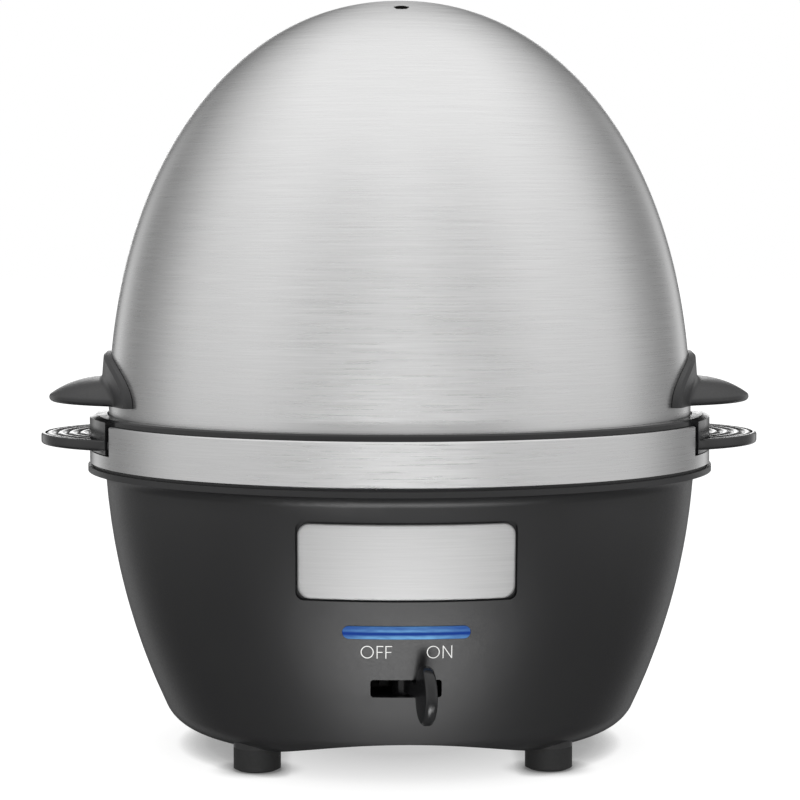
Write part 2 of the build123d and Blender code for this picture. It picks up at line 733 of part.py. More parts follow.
def switch_terminals():
    """Two push-on blades at the back of the switch."""
    middle_z = tray_top_z + SWITCH_H / 2
    blades = []
    for side in SIDES.values():
        x = side * BLADE_PITCH / 2
        blade = block(
            x - BLADE_T / 2, x + BLADE_T / 2, switch_back_y, switch_back_y + BLADE_L,
            middle_z - BLADE_W / 2, middle_z + BLADE_W / 2,
        )
        hole = Pos(x, switch_back_y + BLADE_L * 0.7, middle_z) * Rot(0, 90, 0) * Cylinder(BLADE_T, BLADE_W)
        blades.append(blade - hole)
    return blades


def cord_gland():
    """Inlet bush: a flange on the outer wall, a body through it and a collar behind it."""
    def along(radius, y_from, y_to):
        return Pos(0, y_from, GLAND_Z) * Rot(-90, 0, 0) * Cylinder(radius, y_to - y_from, align=MIN_Z)

    face_y = wall_radius(GLAND_Z)
    inner_y = face_y - WALL - GLAND_NUT_T
    flange = along(GLAND_FLANGE_R, inner_y, face_y + GLAND_FLANGE_T) - housing_core(0)
    collar = along(GLAND_NUT_R, inner_y, face_y) & housing_core(-WALL)
    bush = along(GLAND_R, inner_y, face_y + GLAND_FLANGE_T)
    return bush + flange + collar - along(GLAND_BORE_R, inner_y, face_y + GLAND_FLANGE_T)


def bottom_cover():
    """Arched plate inside the housing's bottom edge, with a pedestal for the terminals."""
    cover = vault() & disc(cover_r, 0, lip_r)
    for x, y in FOOT_SPOTS.values():
        cover -= disc(FOOT_R + SLIDE_FIT, 0, lip_r, x, y)
    crown_z = cover_z + ARCH_RISE
    cover += block(
        -BLOCK_W / 2, BLOCK_W / 2, BLOCK_Y - BLOCK_D / 2, BLOCK_Y + BLOCK_D / 2,
        crown_z - COVER_T / 2, crown_z + PEDESTAL_H,
    )
    for x, y in spots(cover_screw_r, COVER_SCREW_ANGLES):
        cover -= countersunk(SNUG_FIT, x, y)
    return cover


def countersunk(margin, x, y):
    """Countersunk cover screw driven upwards, grown by a margin to make its hole."""
    head_r = COVER_SCREW_HEAD_D / 2 + margin
    shank_r = COVER_SCREW_D / 2 + margin
    head = Pos(x, y, FLOOR_Z) * Cone(head_r, shank_r, head_r - shank_r, align=MIN_Z)
    return head + disc(shank_r, FLOOR_Z, FLOOR_Z + COVER_SCREW_L, x, y)


def cover_screws():
    """Screws of the bottom cover."""
    return [countersunk(0, x, y) for x, y in spots(cover_screw_r, COVER_SCREW_ANGLES)]


def terminal_block():
    """Mains terminals on the cover's pedestal."""
    z_from = cover_z + ARCH_RISE + PEDESTAL_H
    body = block(
        -BLOCK_W / 2, BLOCK_W / 2, BLOCK_Y - BLOCK_D / 2, BLOCK_Y + BLOCK_D / 2, z_from, z_from + BLOCK_H
    )
    for side in SIDES.values():
        x = side * BLOCK_PITCH / 2
        body -= Pos(x, BLOCK_Y, z_from + BLOCK_H / 3) * Rot(90, 0, 0) * Cylinder(BLOCK_HOLE_R, BLOCK_D)
        body -= disc(BLOCK_HOLE_R, z_from + BLOCK_H / 3, z_from + BLOCK_H, x, BLOCK_Y)
    return body


def foot(x, y):
    """Rubber foot with a tapered tread and a peg in its column."""
    points = [
        (0, 0),
        (FOOT_R - FOOT_CHAMFER, 0),
        (FOOT_R, FOOT_CHAMFER / 2),
        (FOOT_R, FOOT_H),
        (FOOT_PEG_R, FOOT_H),
        (FOOT_PEG_R, FOOT_H + FOOT_PEG_H),
        (0, FOOT_H + FOOT_PEG_H),
    ]
    return Pos(x, y, 0) * turned_points(points)


def egg_seat(z):
    """Raised ring round an egg hole, bevelled towards the egg."""
    points = [
        (egg_hole_r, z),
        (seat_r, z),
        (seat_r, z + EGG_SEAT_H * 0.6),
        (seat_r - EGG_SEAT_H * 0.4, z + EGG_SEAT_H),
        (egg_hole_r + EGG_SEAT_W * 0.4, z + EGG_SEAT_H),
        (egg_hole_r, z + EGG_SEAT_H * 0.4),
    ]
    return turned_points(points)


def rack_lug(side):
    """Curved wall that fills a notch of the band, and the ribbed grip on it."""
    lug_out = band_out
    lug_low_z = notch_z + SEAT_GAP
    points = [
        (rim_in, rim_low_z),
        (lug_out - LUG_T, rim_low_z),
        (lug_out - LUG_T, lug_low_z),
        (lug_out, lug_low_z),
        (lug_out, rim_top_z - LUG_TOP_FALL),
        (lug_out - LUG_T, rim_top_z),
        (rim_in, rim_top_z),
    ]
    gap_angle = math.degrees(LUG_SIDE_GAP / lug_out)
    wedge = sector(lip_r, LUG_ANGLE - gap_angle, lug_low_z, rim_top_z, side)
    lug = turned_points(points) & wedge

    # The grip's outer edge is an arc from one end of the lug over the tip to the other end
    end_x, end_y = spots(lug_out, [LUG_ANGLE - 1.25 * gap_angle])[0]
    tip_x = lug_out + GRIP_REACH
    edge_r = (end_y ** 2 + (tip_x - end_x) ** 2) / (2 * (tip_x - end_x))
    centre_x = side * (tip_x - edge_r)
    top_z = rim_top_z - GRIP_DROP
    inner = disc(lug_out - LUG_T / 2, top_z - GRIP_T, top_z + GRIP_T)
    half_space = block(
        min(0, side * lip_r * 2), max(0, side * lip_r * 2), -lip_r, lip_r, top_z - GRIP_T, top_z + GRIP_T
    )
    grip = disc(edge_r, top_z - GRIP_T, top_z, centre_x) & half_space
    grip = fillet(grip.edges().filter_by(GeomType.CIRCLE), GRIP_T / 4) - inner
    sunk = disc(edge_r - GRIP_RIM, top_z - RIB_H, top_z + GRIP_T, centre_x)
    sunk = (sunk - disc(lug_out, top_z - GRIP_T, top_z + GRIP_T)) & half_space
    grip -= sunk
    for step in range(RIB_COUNT):
        ring_r = edge_r - GRIP_RIM - RIB_R - step * RIB_PITCH
        grip += Pos(centre_x, 0, top_z - RIB_R) * Torus(ring_r, RIB_R) & sunk
    return lug + grip


LEG_ANGLES = (30, 150, 270)


def lower_rack():
    """Egg rack: rim over the collar, seat for the lid, sunk plate with seven egg seats, lugs and grips."""
    wall_in = rim_in - LEDGE_W
    wall_out = wall_in + RACK_WALL
    ledge_low_z = lid_seat_z - LEDGE_T
    points = [
        (0, rack_low_z),
        (wall_out, rack_low_z),
        (wall_out, ledge_low_z),
        (rack_out, ledge_low_z),
        (rack_out, rim_low_z),
        (rack_out + RIM_OVERLAP, rim_low_z),
        (rack_out + RIM_OVERLAP, rim_top_z - RIM_H / 4),
        (rack_out + RIM_OVERLAP - RIM_H / 4, rim_top_z),
        (rim_in, rim_top_z),
        (rim_in, lid_seat_z),
        (wall_in, lid_seat_z),
        (wall_in, rack_top_z),
        (0, rack_top_z),
    ]
    rack = turned_points(points)
    egg_spots = [(0, 0)] + spots(egg_pitch, range(0, 360, 60))
    for x, y in egg_spots:
        rack += Pos(x, y, 0) * egg_seat(rack_top_z)
        rack -= disc(egg_hole_r, rack_low_z, rack_top_z, x, y)
    for x, y in spots(steam_pitch, range(30, 390, 60)):
        rack -= disc(STEAM_HOLE_R, rack_low_z, rack_top_z, x, y)
    pocket_r = LEG_FOOT_R + SLIDE_FIT
    for x, y in spots(leg_pitch, LEG_ANGLES):
        rack += disc(pocket_r + LEG_POCKET_WALL, rack_top_z, rack_top_z + LEG_POCKET_H, x, y)
        rack -= disc(pocket_r, rack_top_z, rack_top_z + LEG_POCKET_H, x, y)
    for side in SIDES.values():
        rack += rack_lug(side)
    return rack


def upper_rack():
    """Second rack: round plate with three egg seats on three tapered legs."""
    low_z = rack_top_z + UPPER_RACK_H
    top_z = low_z + RACK_PLATE_T
    edge = RACK_PLATE_T / 2
    points = [
        (0, low_z),
        (upper_rack_r - edge, low_z),
        (upper_rack_r, low_z + edge),
        (upper_rack_r, top_z + edge),
        (upper_rack_r - edge, top_z + edge),
        (upper_rack_r - 2 * edge, top_z),
        (0, top_z),
    ]
    rack = turned_points(points)
    for x, y in spots(steam_pitch, (90, 210, 330)):
        rack += Pos(x, y, 0) * egg_seat(top_z)
        rack -= disc(egg_hole_r, low_z, top_z, x, y)
    rack -= disc(UPPER_MID_HOLE_R, low_z, top_z)
    foot_z = rack_top_z + SEAT_GAP
    for x, y in spots(leg_pitch, LEG_ANGLES):
        rack += Pos(x, y, foot_z) * Cone(LEG_FOOT_R, LEG_TOP_R, low_z - foot_z, align=MIN_Z)
        rack += disc(LEG_FOOT_R, foot_z, foot_z + LEG_POCKET_H, x, y)
    return rack


def dome_curve(offset):
    """Side of the dome from its edge to the crown, moved off the outer face by an offset."""
    return Bezier(
        (DOME_R + offset, dome_edge_z),
        (DOME_R + offset, dome_edge_z + DOME_SIDE_PULL),
        (DOME_CROWN_PULL, dome_top_z + offset),
        (0, dome_top_z + offset),
    )


def dome_core(offset):
    """Everything under the dome, moved off its outer face by an offset."""
    side = dome_curve(offset)
    closing = Polyline(side @ 1, (0, dome_edge_z), side @ 0)
    return turned([side, closing])


handle_low_z = dome_edge_z + PAD_FOOT_H
screw_z = handle_low_z + HANDLE_SCREW_Z


def handle_screw_places(side):
    """Radial placements of one handle's screws, with X pointing outwards from the dome's inside."""
    turn = 0 if side > 0 else 180
    head_seat_r = DOME_R - DOME_SHEET - SEAT_GAP
    angles = (-HANDLE_SCREW_ANGLE, HANDLE_SCREW_ANGLE)
    return [Rot(0, 0, turn + a) * Pos(head_seat_r, 0, screw_z) * Rot(0, 90, 0) for a in angles]


def lid_dome():
    """Sheet steel dome with a vent hole on its front slope and holes for the handles' screws."""
    dome = dome_core(0) - dome_core(-DOME_SHEET)
    dome -= disc(VENT_R, dome_edge_z + DOME_H / 2, dome_top_z + VENT_R, 0, -VENT_FORWARD)
    for side in SIDES.values():
        for place in handle_screw_places(side):
            dome -= place * Cylinder(HANDLE_SCREW_D / 2 + 2 * SNUG_FIT, HANDLE_SCREW_L)
    return dome


def pad_edges(handle, z_from, z_to):
    """Curved edges on the outer face of a handle's pad whose middles lie between two heights."""
    found = []
    for edge in handle.edges().filter_by(GeomType.BSPLINE):
        middle = edge @ 0.5
        stand_off = math.hypot(middle.X, middle.Y) - DOME_R
        if z_from < middle.Z < z_to and abs(stand_off - PAD_T) < PAD_T / 2:
            found.append(edge)
    return found


def lid_handle(side):
    """Wing handle: an arched pad that follows the dome, and a round crowned wing."""
    arch = Pos(0, handle_low_z) * Ellipse(PAD_HALF_W, PAD_H)
    arch = arch & Pos(0, handle_low_z) * Rectangle(2 * PAD_HALF_W, PAD_H, align=(Align.CENTER, Align.MIN))
    reach = DOME_R + WING_REACH
    prism = Plane.YZ * extrude(arch, reach)
    pad = (dome_core(PAD_T) & prism) - dome_core(SNUG_FIT)

    edge_in = WING_R - WING_EDGE_T / 2
    crown_z = handle_low_z + WING_CROWN_H
    lip = ThreePointArc(
        (edge_in, handle_low_z),
        (WING_R, handle_low_z + WING_EDGE_T / 2),
        (WING_R - WING_EDGE_T / 6, handle_low_z + WING_EDGE_T),
    )
    shoulder = (WING_SHOULDER_R, handle_low_z + WING_SHOULDER_H)
    slope = ThreePointArc(lip @ 1, shoulder, (WING_CROWN_R, crown_z))
    closing = Polyline(slope @ 1, (0, crown_z), (0, handle_low_z), lip @ 0)
    wing = Pos(reach - WING_R, 0, 0) * turned([lip, slope, closing])
    wing -= dome_core(SNUG_FIT)
    handle = pad + wing
    handle = fillet(pad_edges(handle, handle_low_z + SNUG_FIT, crown_z + SNUG_FIT), WING_FILLET)
    handle = chamfer(pad_edges(handle, crown_z + WING_FILLET, handle_low_z + PAD_H), PAD_BEVEL)
    handle = Rot(0, 0, 0 if side > 0 else 180) * handle
    for place in handle_screw_places(side):
        handle -= place * Cylinder(HANDLE_SCREW_D / 2 + SNUG_FIT, HANDLE_SCREW_L + SNUG_FIT, align=MIN_Z)
    return handle


def handle_screws():
    """Screws from inside the dome into the handles."""
    screws = []
    for side in SIDES.values():
        for place in handle_screw_places(side):
            head = Cylinder(HANDLE_SCREW_HEAD_D / 2, HANDLE_SCREW_HEAD_H, align=MAX_Z)
            shank = Cylinder(HANDLE_SCREW_D / 2, HANDLE_SCREW_L, align=MIN_Z)
            screws.append(place * (head + shank))
    return screws


def all_nodes():
    """Every node's name with its solid or its group of solids."""
    nodes = {
        "base_shell": base_shell(),
        "steel_band": steel_band(),
        "badge_plate": badge_blank(0, -BADGE_SINK, BADGE_PROUD),
        "indicator_lens": indicator_lens(),
        "light_board": light_board(),
        "indicator_leds": indicator_leds(),
        "buzzer": buzzer(),
        "heating_plate": heating_plate(),
        "plate_seal": plate_seal(),
        "plate_nuts": plate_nuts(),
        "heating_element": heating_element(),
        "thermostat": thermostat(),
        "sensor_bracket": sensor_bracket(),
        "bracket_nuts": bracket_nuts(),
        "thermal_fuse": thermal_fuse(),
        "switch_bracket": switch_bracket(),
        "bracket_screws": bracket_screws(),
        "lever_pin": lever_pin(),
        "pin_clip": pin_clip(),
        "power_lever": power_lever(),
        "switch_slider": switch_slider(),
        "switch_housing": switch_housing(),
        "switch_terminals": switch_terminals(),
        "cord_gland": cord_gland(),
        "terminal_block": terminal_block(),
        "bottom_cover": bottom_cover(),
        "cover_screws": cover_screws(),
        "lower_rack": lower_rack(),
        "upper_rack": upper_rack(),
        "lid_dome": lid_dome(),
        "handle_screws": handle_screws(),
    }
    for name, (x, y) in FOOT_SPOTS.items():
        nodes["foot_" + name] = foot(x, y)
    for name, side in SIDES.items():
        nodes["lid_handle_" + name] = lid_handle(side)
    return nodes


os.makedirs("parts", exist_ok=True)
for node_name, shape in all_nodes().items():
    solids = shape if isinstance(shape, list) else [shape]
    export_step(Compound(children=[Part(s.wrapped) for s in solids]), f"parts/{node_name}.step")
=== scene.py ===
import json
import math

import bmesh
import bpy
import numpy
from bpy.props import FloatProperty, FloatVectorProperty, IntProperty, PointerProperty
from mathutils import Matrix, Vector
from mathutils.bvhtree import BVHTree


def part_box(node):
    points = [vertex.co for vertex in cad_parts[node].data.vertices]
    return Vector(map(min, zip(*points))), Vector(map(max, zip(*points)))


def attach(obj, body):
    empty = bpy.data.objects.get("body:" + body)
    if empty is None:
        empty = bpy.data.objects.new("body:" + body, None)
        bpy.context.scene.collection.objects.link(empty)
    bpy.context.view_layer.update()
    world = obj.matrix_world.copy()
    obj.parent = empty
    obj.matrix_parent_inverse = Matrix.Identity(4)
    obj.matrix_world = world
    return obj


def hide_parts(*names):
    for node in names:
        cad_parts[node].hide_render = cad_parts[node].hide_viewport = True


bl_info = {
    "name": "Egg Cooker Dressing",
    "version": (1, 0, 0),
    "blender": (4, 5, 0),
    "location": "View3D > Sidebar > Egg Cooker",
    "description": "Finishes, lettering, fine lid sheet and studio for the electric egg cooker",
    "category": "Object",
}

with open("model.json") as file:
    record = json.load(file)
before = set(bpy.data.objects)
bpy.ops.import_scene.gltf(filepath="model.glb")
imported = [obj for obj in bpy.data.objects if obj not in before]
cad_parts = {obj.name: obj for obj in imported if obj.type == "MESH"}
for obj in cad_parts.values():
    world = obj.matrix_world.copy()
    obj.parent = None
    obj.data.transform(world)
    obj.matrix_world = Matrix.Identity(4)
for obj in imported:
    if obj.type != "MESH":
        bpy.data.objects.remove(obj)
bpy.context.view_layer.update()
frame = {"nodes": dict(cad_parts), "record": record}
BODY_OF = {node: body for body, nodes in frame["record"]["behaviour"]["bodies"].items() for node in nodes}
SLOT_OF = {part["node"]: part["material_slot"] for part in frame["record"]["subparts"]}
dome_low, dome_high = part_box("lid_dome")
shell_low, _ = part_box("base_shell")
lens_low, lens_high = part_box("indicator_lens")

MM = 0.001
WHITE = (1.0, 1.0, 1.0, 1.0)
MIX_FIRST, MIX_SECOND, MIX_RESULT = 6, 7, 2  # colour sockets of the mix node
STITCH = 0.002 * MM  # points closer than this are joined
SMOOTH_ANGLE = math.radians(35.0)  # edges sharper than this stay sharp
BUMP_HEIGHT = 0.02 * MM  # depth of moulding grain and brush marks

# Light along the bar's height: three ribs, of which the upper one is the widest
LENS_RIBS = (
    (0.0, 0.3), (0.15, 0.1), (0.25, 1.0), (0.34, 0.9), (0.42, 0.0),
    (0.5, 0.0), (0.58, 0.85), (0.68, 0.4), (0.85, 0.45), (1.0, 0.8),
)

# Each letter with its left edge and its width, in letter heights
OFF = (("O", 0, 0.98), ("F", 1.2, 0.5), ("F", 1.86, 0.5))
ON = (("O", 0, 0.98), ("N", 1.2, 0.72))
ROUND_STEPS = 48
LOWER_ARM = 0.88  # lower arm of an F as a share of the upper one
DIAGONAL = 1.7  # height of the N's diagonal in strokes

RAY_SPAN = 5 / 6  # part of the front plate on which the wall's curve is measured
RAY_COLUMNS, RAY_ROWS = 41, 21
FACE_RINGS, ROLL_STEPS = 12, 4  # steps across the front plate's face and round its edge

VENT_STEPS = 32
VENT_MARGIN = 1.02  # the vent's wall lies within this many vent radii
HEAD_STEPS, SHANK_STEPS = 40, 24
SHANK_OVERLAP = 0.2 * MM  # length of a screw's shank inside its head
LEVEL_STEP = 0.02 * MM  # a screw's points this close along its axis are level
NEAR_LEVEL = 0.05 * MM

FLOOR_RADIUS = 6.0
FLOOR_SHARE = (0.45, 1.0, 0.02, 0.11)  # the floor's own light by distance from the axis
FLOOR_SHADOW_LEVEL = (0.2, 1.18, 0.5, 0.98)  # that light dimmed where a spot is covered, a painted contact shadow
CONTACT_SHADOW_REACH = 7 * MM  # how far a spot looks for what covers it, for the painted contact shadow
SOFTBOX_PLACE, SOFTBOX_AIM, SOFTBOX_SIZE = (-0.1, -1.25, 0.95), (0, 0, 0.1), (1.7, 1.1)

# The room that the steel mirrors. A bearing is 0 on the camera's side and 1 straight behind the object.
# Four numbers are two levels and the two heights of a direction between which one turns into the other.
WALLS = (
    (0.0, 0.86), (0.02, 0.77), (0.07, 0.75), (0.16, 0.9), (0.235, 0.97), (0.5, 0.9),
    (0.6, 0.75), (0.66, 0.58), (0.735, 0.44), (0.79, 0.36), (0.86, 0.28), (1.0, 0.12),
)
WALL_FOOT = (0.3, 0.95, -0.36, -0.1)
CEILING = (0.0, 1.0, 0.24, 0.88)
CEILING_CURVE, CEILING_LEVEL = 1.5, 1.18
STRIPS = ((0.8, 0.0), (0.86, 0.1), (0.9, 0.3), (0.935, 0.62), (0.955, 0.5), (0.972, 0.0))
STRIP_TOP = (1.0, 0.0, 0.05, 0.42)
STRIP_FOOT = (0.2, 1.0, -0.8, -0.35)
SWEEP_LEVEL = (1.4, 2.6, 0.04, 0.08)  # by how far a direction goes to the side
SWEEP_SIDE = (0.972, 0.987)  # how far backwards a direction goes where the sweep begins and is full
SWEEP_TOP = (1.0, 0.0, 0.15, 0.24)
SWEEP_FOOT = (0.0, 1.0, -0.04, 0.02)
PATCH_SIDE = -0.93  # how far forwards a direction goes where the patch is full
PATCH_EDGE = (-0.87, -0.42, -0.82, -0.52)  # the same where it ends
PATCH_TOP = (-0.64, -0.48)
PATCH_FOOT = (0.0, 1.0, -0.88, -0.59)


def linear(code):
    """Linear RGBA of an sRGB hex colour."""
    channels = [int(code[i:i + 2], 16) / 255 for i in (1, 3, 5)]
    return tuple(c / 12.92 if c <= 0.04045 else ((c + 0.055) / 1.055) ** 2.4 for c in channels) + (1.0,)


def tint(code, name, description):
    """Colour property whose default is an sRGB hex colour."""
    return FloatVectorProperty(
        name=name, description=description, subtype="COLOR", size=4, min=0, max=1, default=linear(code)
    )


def length(value, name, description, low=0.0):
    """Length property in metres."""
    return FloatProperty(name=name, description=description, default=value, min=low, subtype="DISTANCE", unit="LENGTH")


def amount(value, name, description, low=0.0, high=1000.0):
    """Property that is a share or another plain number."""
    return FloatProperty(name=name, description=description, default=value, min=low, max=high)


def count(value, name, description, low=2):
    """Property that is a number of steps."""
    return IntProperty(name=name, description=description, default=value, min=low)


class EggCookerLid(bpy.types.PropertyGroup):
    """Sizes of the sheet steel lid."""

    radius: length(dome_high.x, "Radius", "Outer radius of the lid's edge")
    edge_height: length(dome_low.z, "Edge height", "Height of the lid's edge above the table")
    top_height: length(dome_high.z, "Top height", "Height of the crown above the table")
    side_pull: length(64 * MM, "Side pull", "Height over which the side leaves the vertical")
    crown_pull: length(46 * MM, "Crown pull", "Breadth over which the crown leaves the horizontal")
    sheet: length(0.6 * MM, "Sheet", "Thickness of the steel sheet")
    vent_radius: length(1.8 * MM, "Vent radius", "Radius of the steam vent")
    vent_forward: length(20 * MM, "Vent forward", "Vent's distance in front of the axis")
    rings: count(96, "Rings", "Steps up the side", 8)
    turns: count(192, "Turns", "Steps round the axis", 16)


class EggCookerLetters(bpy.types.PropertyGroup):
    """Sizes of the switch lettering."""

    height: length(3.2 * MM, "Height", "Height of the capitals")
    stroke: length(0.23 * MM, "Stroke", "Width of the strokes")
    drop: length(3.72 * MM, "Drop", "Height of the light bar's foot above the letters' feet")
    off_left: length(-11.0 * MM, "OFF left", "Left edge of the word OFF", -1.0)
    on_left: length(4.9 * MM, "ON left", "Left edge of the word ON", -1.0)
    ink: length(0.06 * MM, "Ink", "Height of the print above the housing")


class EggCookerPlate(bpy.types.PropertyGroup):
    """Sizes of the front plate."""

    corner: length(3.0 * MM, "Corner", "Radius of the plate's corners")
    corner_steps: count(12, "Corner steps", "Steps round each corner")
    runs: count(48, "Runs", "Steps along each long side")
    roll: length(0.5 * MM, "Roll", "Radius of the rolled edge")
    thickness: length(0.9 * MM, "Thickness", "Depth of the plate at its edge")


class EggCookerScrews(bpy.types.PropertyGroup):
    """Shares of the screws' heads."""

    crown: amount(0.84, "Crown", "Face of a pan head as a share of its foot", 0.1, 1.0)
    recess: amount(0.6, "Recess", "Cross recess as a share of the head's face", 0.1, 0.9)
    wing: amount(0.26, "Wing", "Width of the cross's wings as a share of its span", 0.05, 0.6)
    depth: amount(0.6, "Depth", "Depth of the recess as a share of the head", 0.1, 0.9)


class EggCookerFinish(bpy.types.PropertyGroup):
    """Colours of the finishes."""

    housing: tint("#161617", "Housing", "Satin charcoal moulding")
    rack: tint("#141415", "Racks", "Gloss black moulding")
    handle: tint("#1e1e1f", "Lid handles", "Satin black moulding")
    steel: tint("#dadada", "Steel", "Brushed stainless steel")
    plate: tint("#c2c2c2", "Front plate", "Brushed aluminium")
    lamp_deep: tint("#0b3382", "Light bar, deep", "Blue at the ends of the light bar")
    lamp_bright: tint("#8ccdf8", "Light bar, bright", "Pale blue where the lamps shine through")
    print_white: tint("#ececea", "Lettering", "Screen print")


class EggCookerStudio(bpy.types.PropertyGroup):
    """Camera and light."""

    camera_distance: length(0.695, "Camera distance", "Camera in front of the axis")
    camera_side: length(-0.016, "Camera side", "Camera to the side of the axis", -1.0)
    camera_height: length(0.1377, "Camera height", "Camera above the table")
    aim_side: length(0.0001, "Aim side", "Point that the camera looks at, to the side of the axis", -1.0)
    aim_height: length(0.0913, "Aim height", "Point that the camera looks at, above the table")
    lens: amount(117.8, "Lens", "Focal length in millimetres", 1.0)
    key: amount(2.5, "Key", "Power of the front softbox in watts")
    patch: amount(9.0, "Patch", "Brightness of the light patch low in front")
    room: amount(1.08, "Room", "Strength of the room's soft light")


class EggCooker(bpy.types.PropertyGroup):
    """Everything a user would change."""

    lid: PointerProperty(type=EggCookerLid)
    letters: PointerProperty(type=EggCookerLetters)
    plate: PointerProperty(type=EggCookerPlate)
    screws: PointerProperty(type=EggCookerScrews)
    finish: PointerProperty(type=EggCookerFinish)
    studio: PointerProperty(type=EggCookerStudio)


def settings():
    return bpy.context.scene.egg_cooker


def add(tree, kind, inputs=None, **values):
    """Adds a node with its settings; an input is a value or the socket that feeds it."""
    made = tree.nodes.new(kind)
    for key, value in values.items():
        setattr(made, key, value)
    for key, value in (inputs or {}).items():
        if isinstance(value, bpy.types.NodeSocket):
            tree.links.new(value, made.inputs[key])
        else:
            made.inputs[key].default_value = value
    return made


def reckon(tree, operation, *terms, clamp=False):
    """Result of a sum on values or sockets."""
    made = add(tree, "ShaderNodeMath", dict(enumerate(terms)), operation=operation, use_clamp=clamp)
    return made.outputs["Value"]


def spread(tree, source, low, high, near=0.3, far=0.7):
    """Maps a range of a value onto another; the usual range is the middle of a noise."""
    return add(
        tree, "ShaderNodeMapRange",
        {"Value": source, "From Min": near, "From Max": far, "To Min": low, "To Max": high},
    ).outputs["Result"]


def ramp(tree, source, stops):
    """Level that follows stops of place and level along a value."""
    made = add(tree, "ShaderNodeValToRGB", {"Fac": source})
    elements = made.color_ramp.elements
    for _ in range(len(stops) - 2):
        elements.new(0.5)
    for element, (place, level) in zip(elements, stops):
        element.position = place
        element.color = (level, level, level, 1)
    return made.outputs["Color"]


def along(tree, x=0.0, y=0.0, z=0.0):
    """Vector from its three parts."""
    return add(tree, "ShaderNodeCombineXYZ", {"X": x, "Y": y, "Z": z}).outputs["Vector"]


def own_place(tree):
    """A point's place in the piece's own coordinates."""
    return add(tree, "ShaderNodeTexCoord").outputs["Object"]


def start_material(name, inputs=None):
    """Fresh material with a principled shader; returns the material, its tree and the shader."""
    material = bpy.data.materials.new(name)
    material.use_nodes = True
    tree = material.node_tree
    tree.nodes.clear()
    shader = add(tree, "ShaderNodeBsdfPrincipled", inputs)
    add(tree, "ShaderNodeOutputMaterial", {"Surface": shader.outputs["BSDF"]})
    return material, tree, shader


def grain(tree, size_mm, detail=2.0, stretch=(1.0, 1.0, 1.0)):
    """Noise on the piece's own coordinates whose cells are a size in millimetres, times a stretch."""
    scale = tuple(1 / (size_mm * MM * s) for s in stretch)
    mapped = add(tree, "ShaderNodeMapping", {"Vector": own_place(tree), "Scale": scale}).outputs["Vector"]
    return add(tree, "ShaderNodeTexNoise", {"Vector": mapped, "Scale": 1.0, "Detail": detail}).outputs["Fac"]


def shade(color, factor):
    """A colour made lighter or darker."""
    return tuple(min(1.0, c * factor) for c in color[:3]) + (1.0,)


def blend(tree, share, first, second):
    """Mix of two colours."""
    mixed = add(tree, "ShaderNodeMix", {"Factor": share}, data_type="RGBA")
    mixed.inputs[MIX_FIRST].default_value = first
    mixed.inputs[MIX_SECOND].default_value = second
    return mixed.outputs[MIX_RESULT]


def vary(tree, source, color, depth):
    """A colour that wanders by a share of itself with a noise."""
    return blend(tree, spread(tree, source, 0.0, 1.0), shade(color, 1 - depth), shade(color, 1 + depth))


def relief(tree, height, strength):
    """Normal of a surface with fine marks."""
    marks = add(tree, "ShaderNodeBump", {"Height": height, "Strength": strength, "Distance": BUMP_HEIGHT})
    return marks.outputs["Normal"]


def moulded(name, color, roughness, grain_mm, specular=0.5, bump=0.12, drift=0.06):
    """Injection-moulded plastic: even colour with a slow drift, and the fine spark grain of the tool."""
    material, tree, shader = start_material(name, {"Specular IOR Level": specular})
    slow = grain(tree, size_mm=24, detail=1.0)
    fine = grain(tree, grain_mm)
    tree.links.new(vary(tree, slow, color, drift), shader.inputs["Base Color"])
    tree.links.new(spread(tree, fine, roughness - 0.04, roughness + 0.04), shader.inputs["Roughness"])
    tree.links.new(relief(tree, fine, bump), shader.inputs["Normal"])
    return material


def brushed_steel(name, color, roughness, streak_mm=0.34, run_mm=20.0, uv_map=None, pull=0.8):
    """Sheet brushed round the axis: thin level scratches that spread a highlight up and down."""
    material, tree, shader = start_material(
        name, {"Metallic": 1.0, "Anisotropic": pull, "Anisotropic Rotation": 0.25}
    )
    place = add(tree, "ShaderNodeSeparateXYZ", {"Vector": own_place(tree)}).outputs
    flat = along(tree, place["X"], place["Y"])
    radius = add(tree, "ShaderNodeVectorMath", {0: flat}, operation="LENGTH").outputs["Value"]
    # Height less radius climbs steadily from the edge to the crown, so scratches keep their pitch on the slope
    climb = reckon(tree, "SUBTRACT", place["Z"], radius)
    runs = [reckon(tree, "MULTIPLY", place[axis], 1 / (run_mm * MM)) for axis in "XY"]
    where = along(tree, *runs, reckon(tree, "MULTIPLY", climb, 1 / (streak_mm * MM)))
    # Real scratches are about 0.05 mm apart, too fine to show, so they are drawn several times coarser
    streaks = add(
        tree, "ShaderNodeTexNoise", {"Vector": where, "Scale": 1.0, "Detail": 3.0, "Roughness": 0.65}
    ).outputs["Fac"]
    tree.links.new(vary(tree, streaks, color, 0.08), shader.inputs["Base Color"])
    tree.links.new(spread(tree, streaks, roughness - 0.05, roughness + 0.05), shader.inputs["Roughness"])
    tree.links.new(relief(tree, streaks, 0.03), shader.inputs["Normal"])
    # A round piece is brushed about its own middle, a plate along its UV map
    if uv_map:
        tangent = add(tree, "ShaderNodeTangent", direction_type="UV_MAP", uv_map=uv_map)
    else:
        tangent = add(tree, "ShaderNodeTangent", direction_type="RADIAL", axis="Z")
    tree.links.new(tangent.outputs["Tangent"], shader.inputs["Tangent"])
    return material


def plain_metal(name, color, roughness, drift=0.08, cell_mm=6.0):
    """Plated or heat-dulled metal, and the near-black vent wall that is painted shade: a cloudy tone and fine uneven
    polish.
    """
    material, tree, shader = start_material(name, {"Metallic": 1.0})
    cloud = grain(tree, cell_mm, 3.0)
    fine = grain(tree, size_mm=0.6)
    tree.links.new(vary(tree, cloud, color, drift), shader.inputs["Base Color"])
    tree.links.new(spread(tree, fine, roughness - 0.06, roughness + 0.06), shader.inputs["Roughness"])
    return material


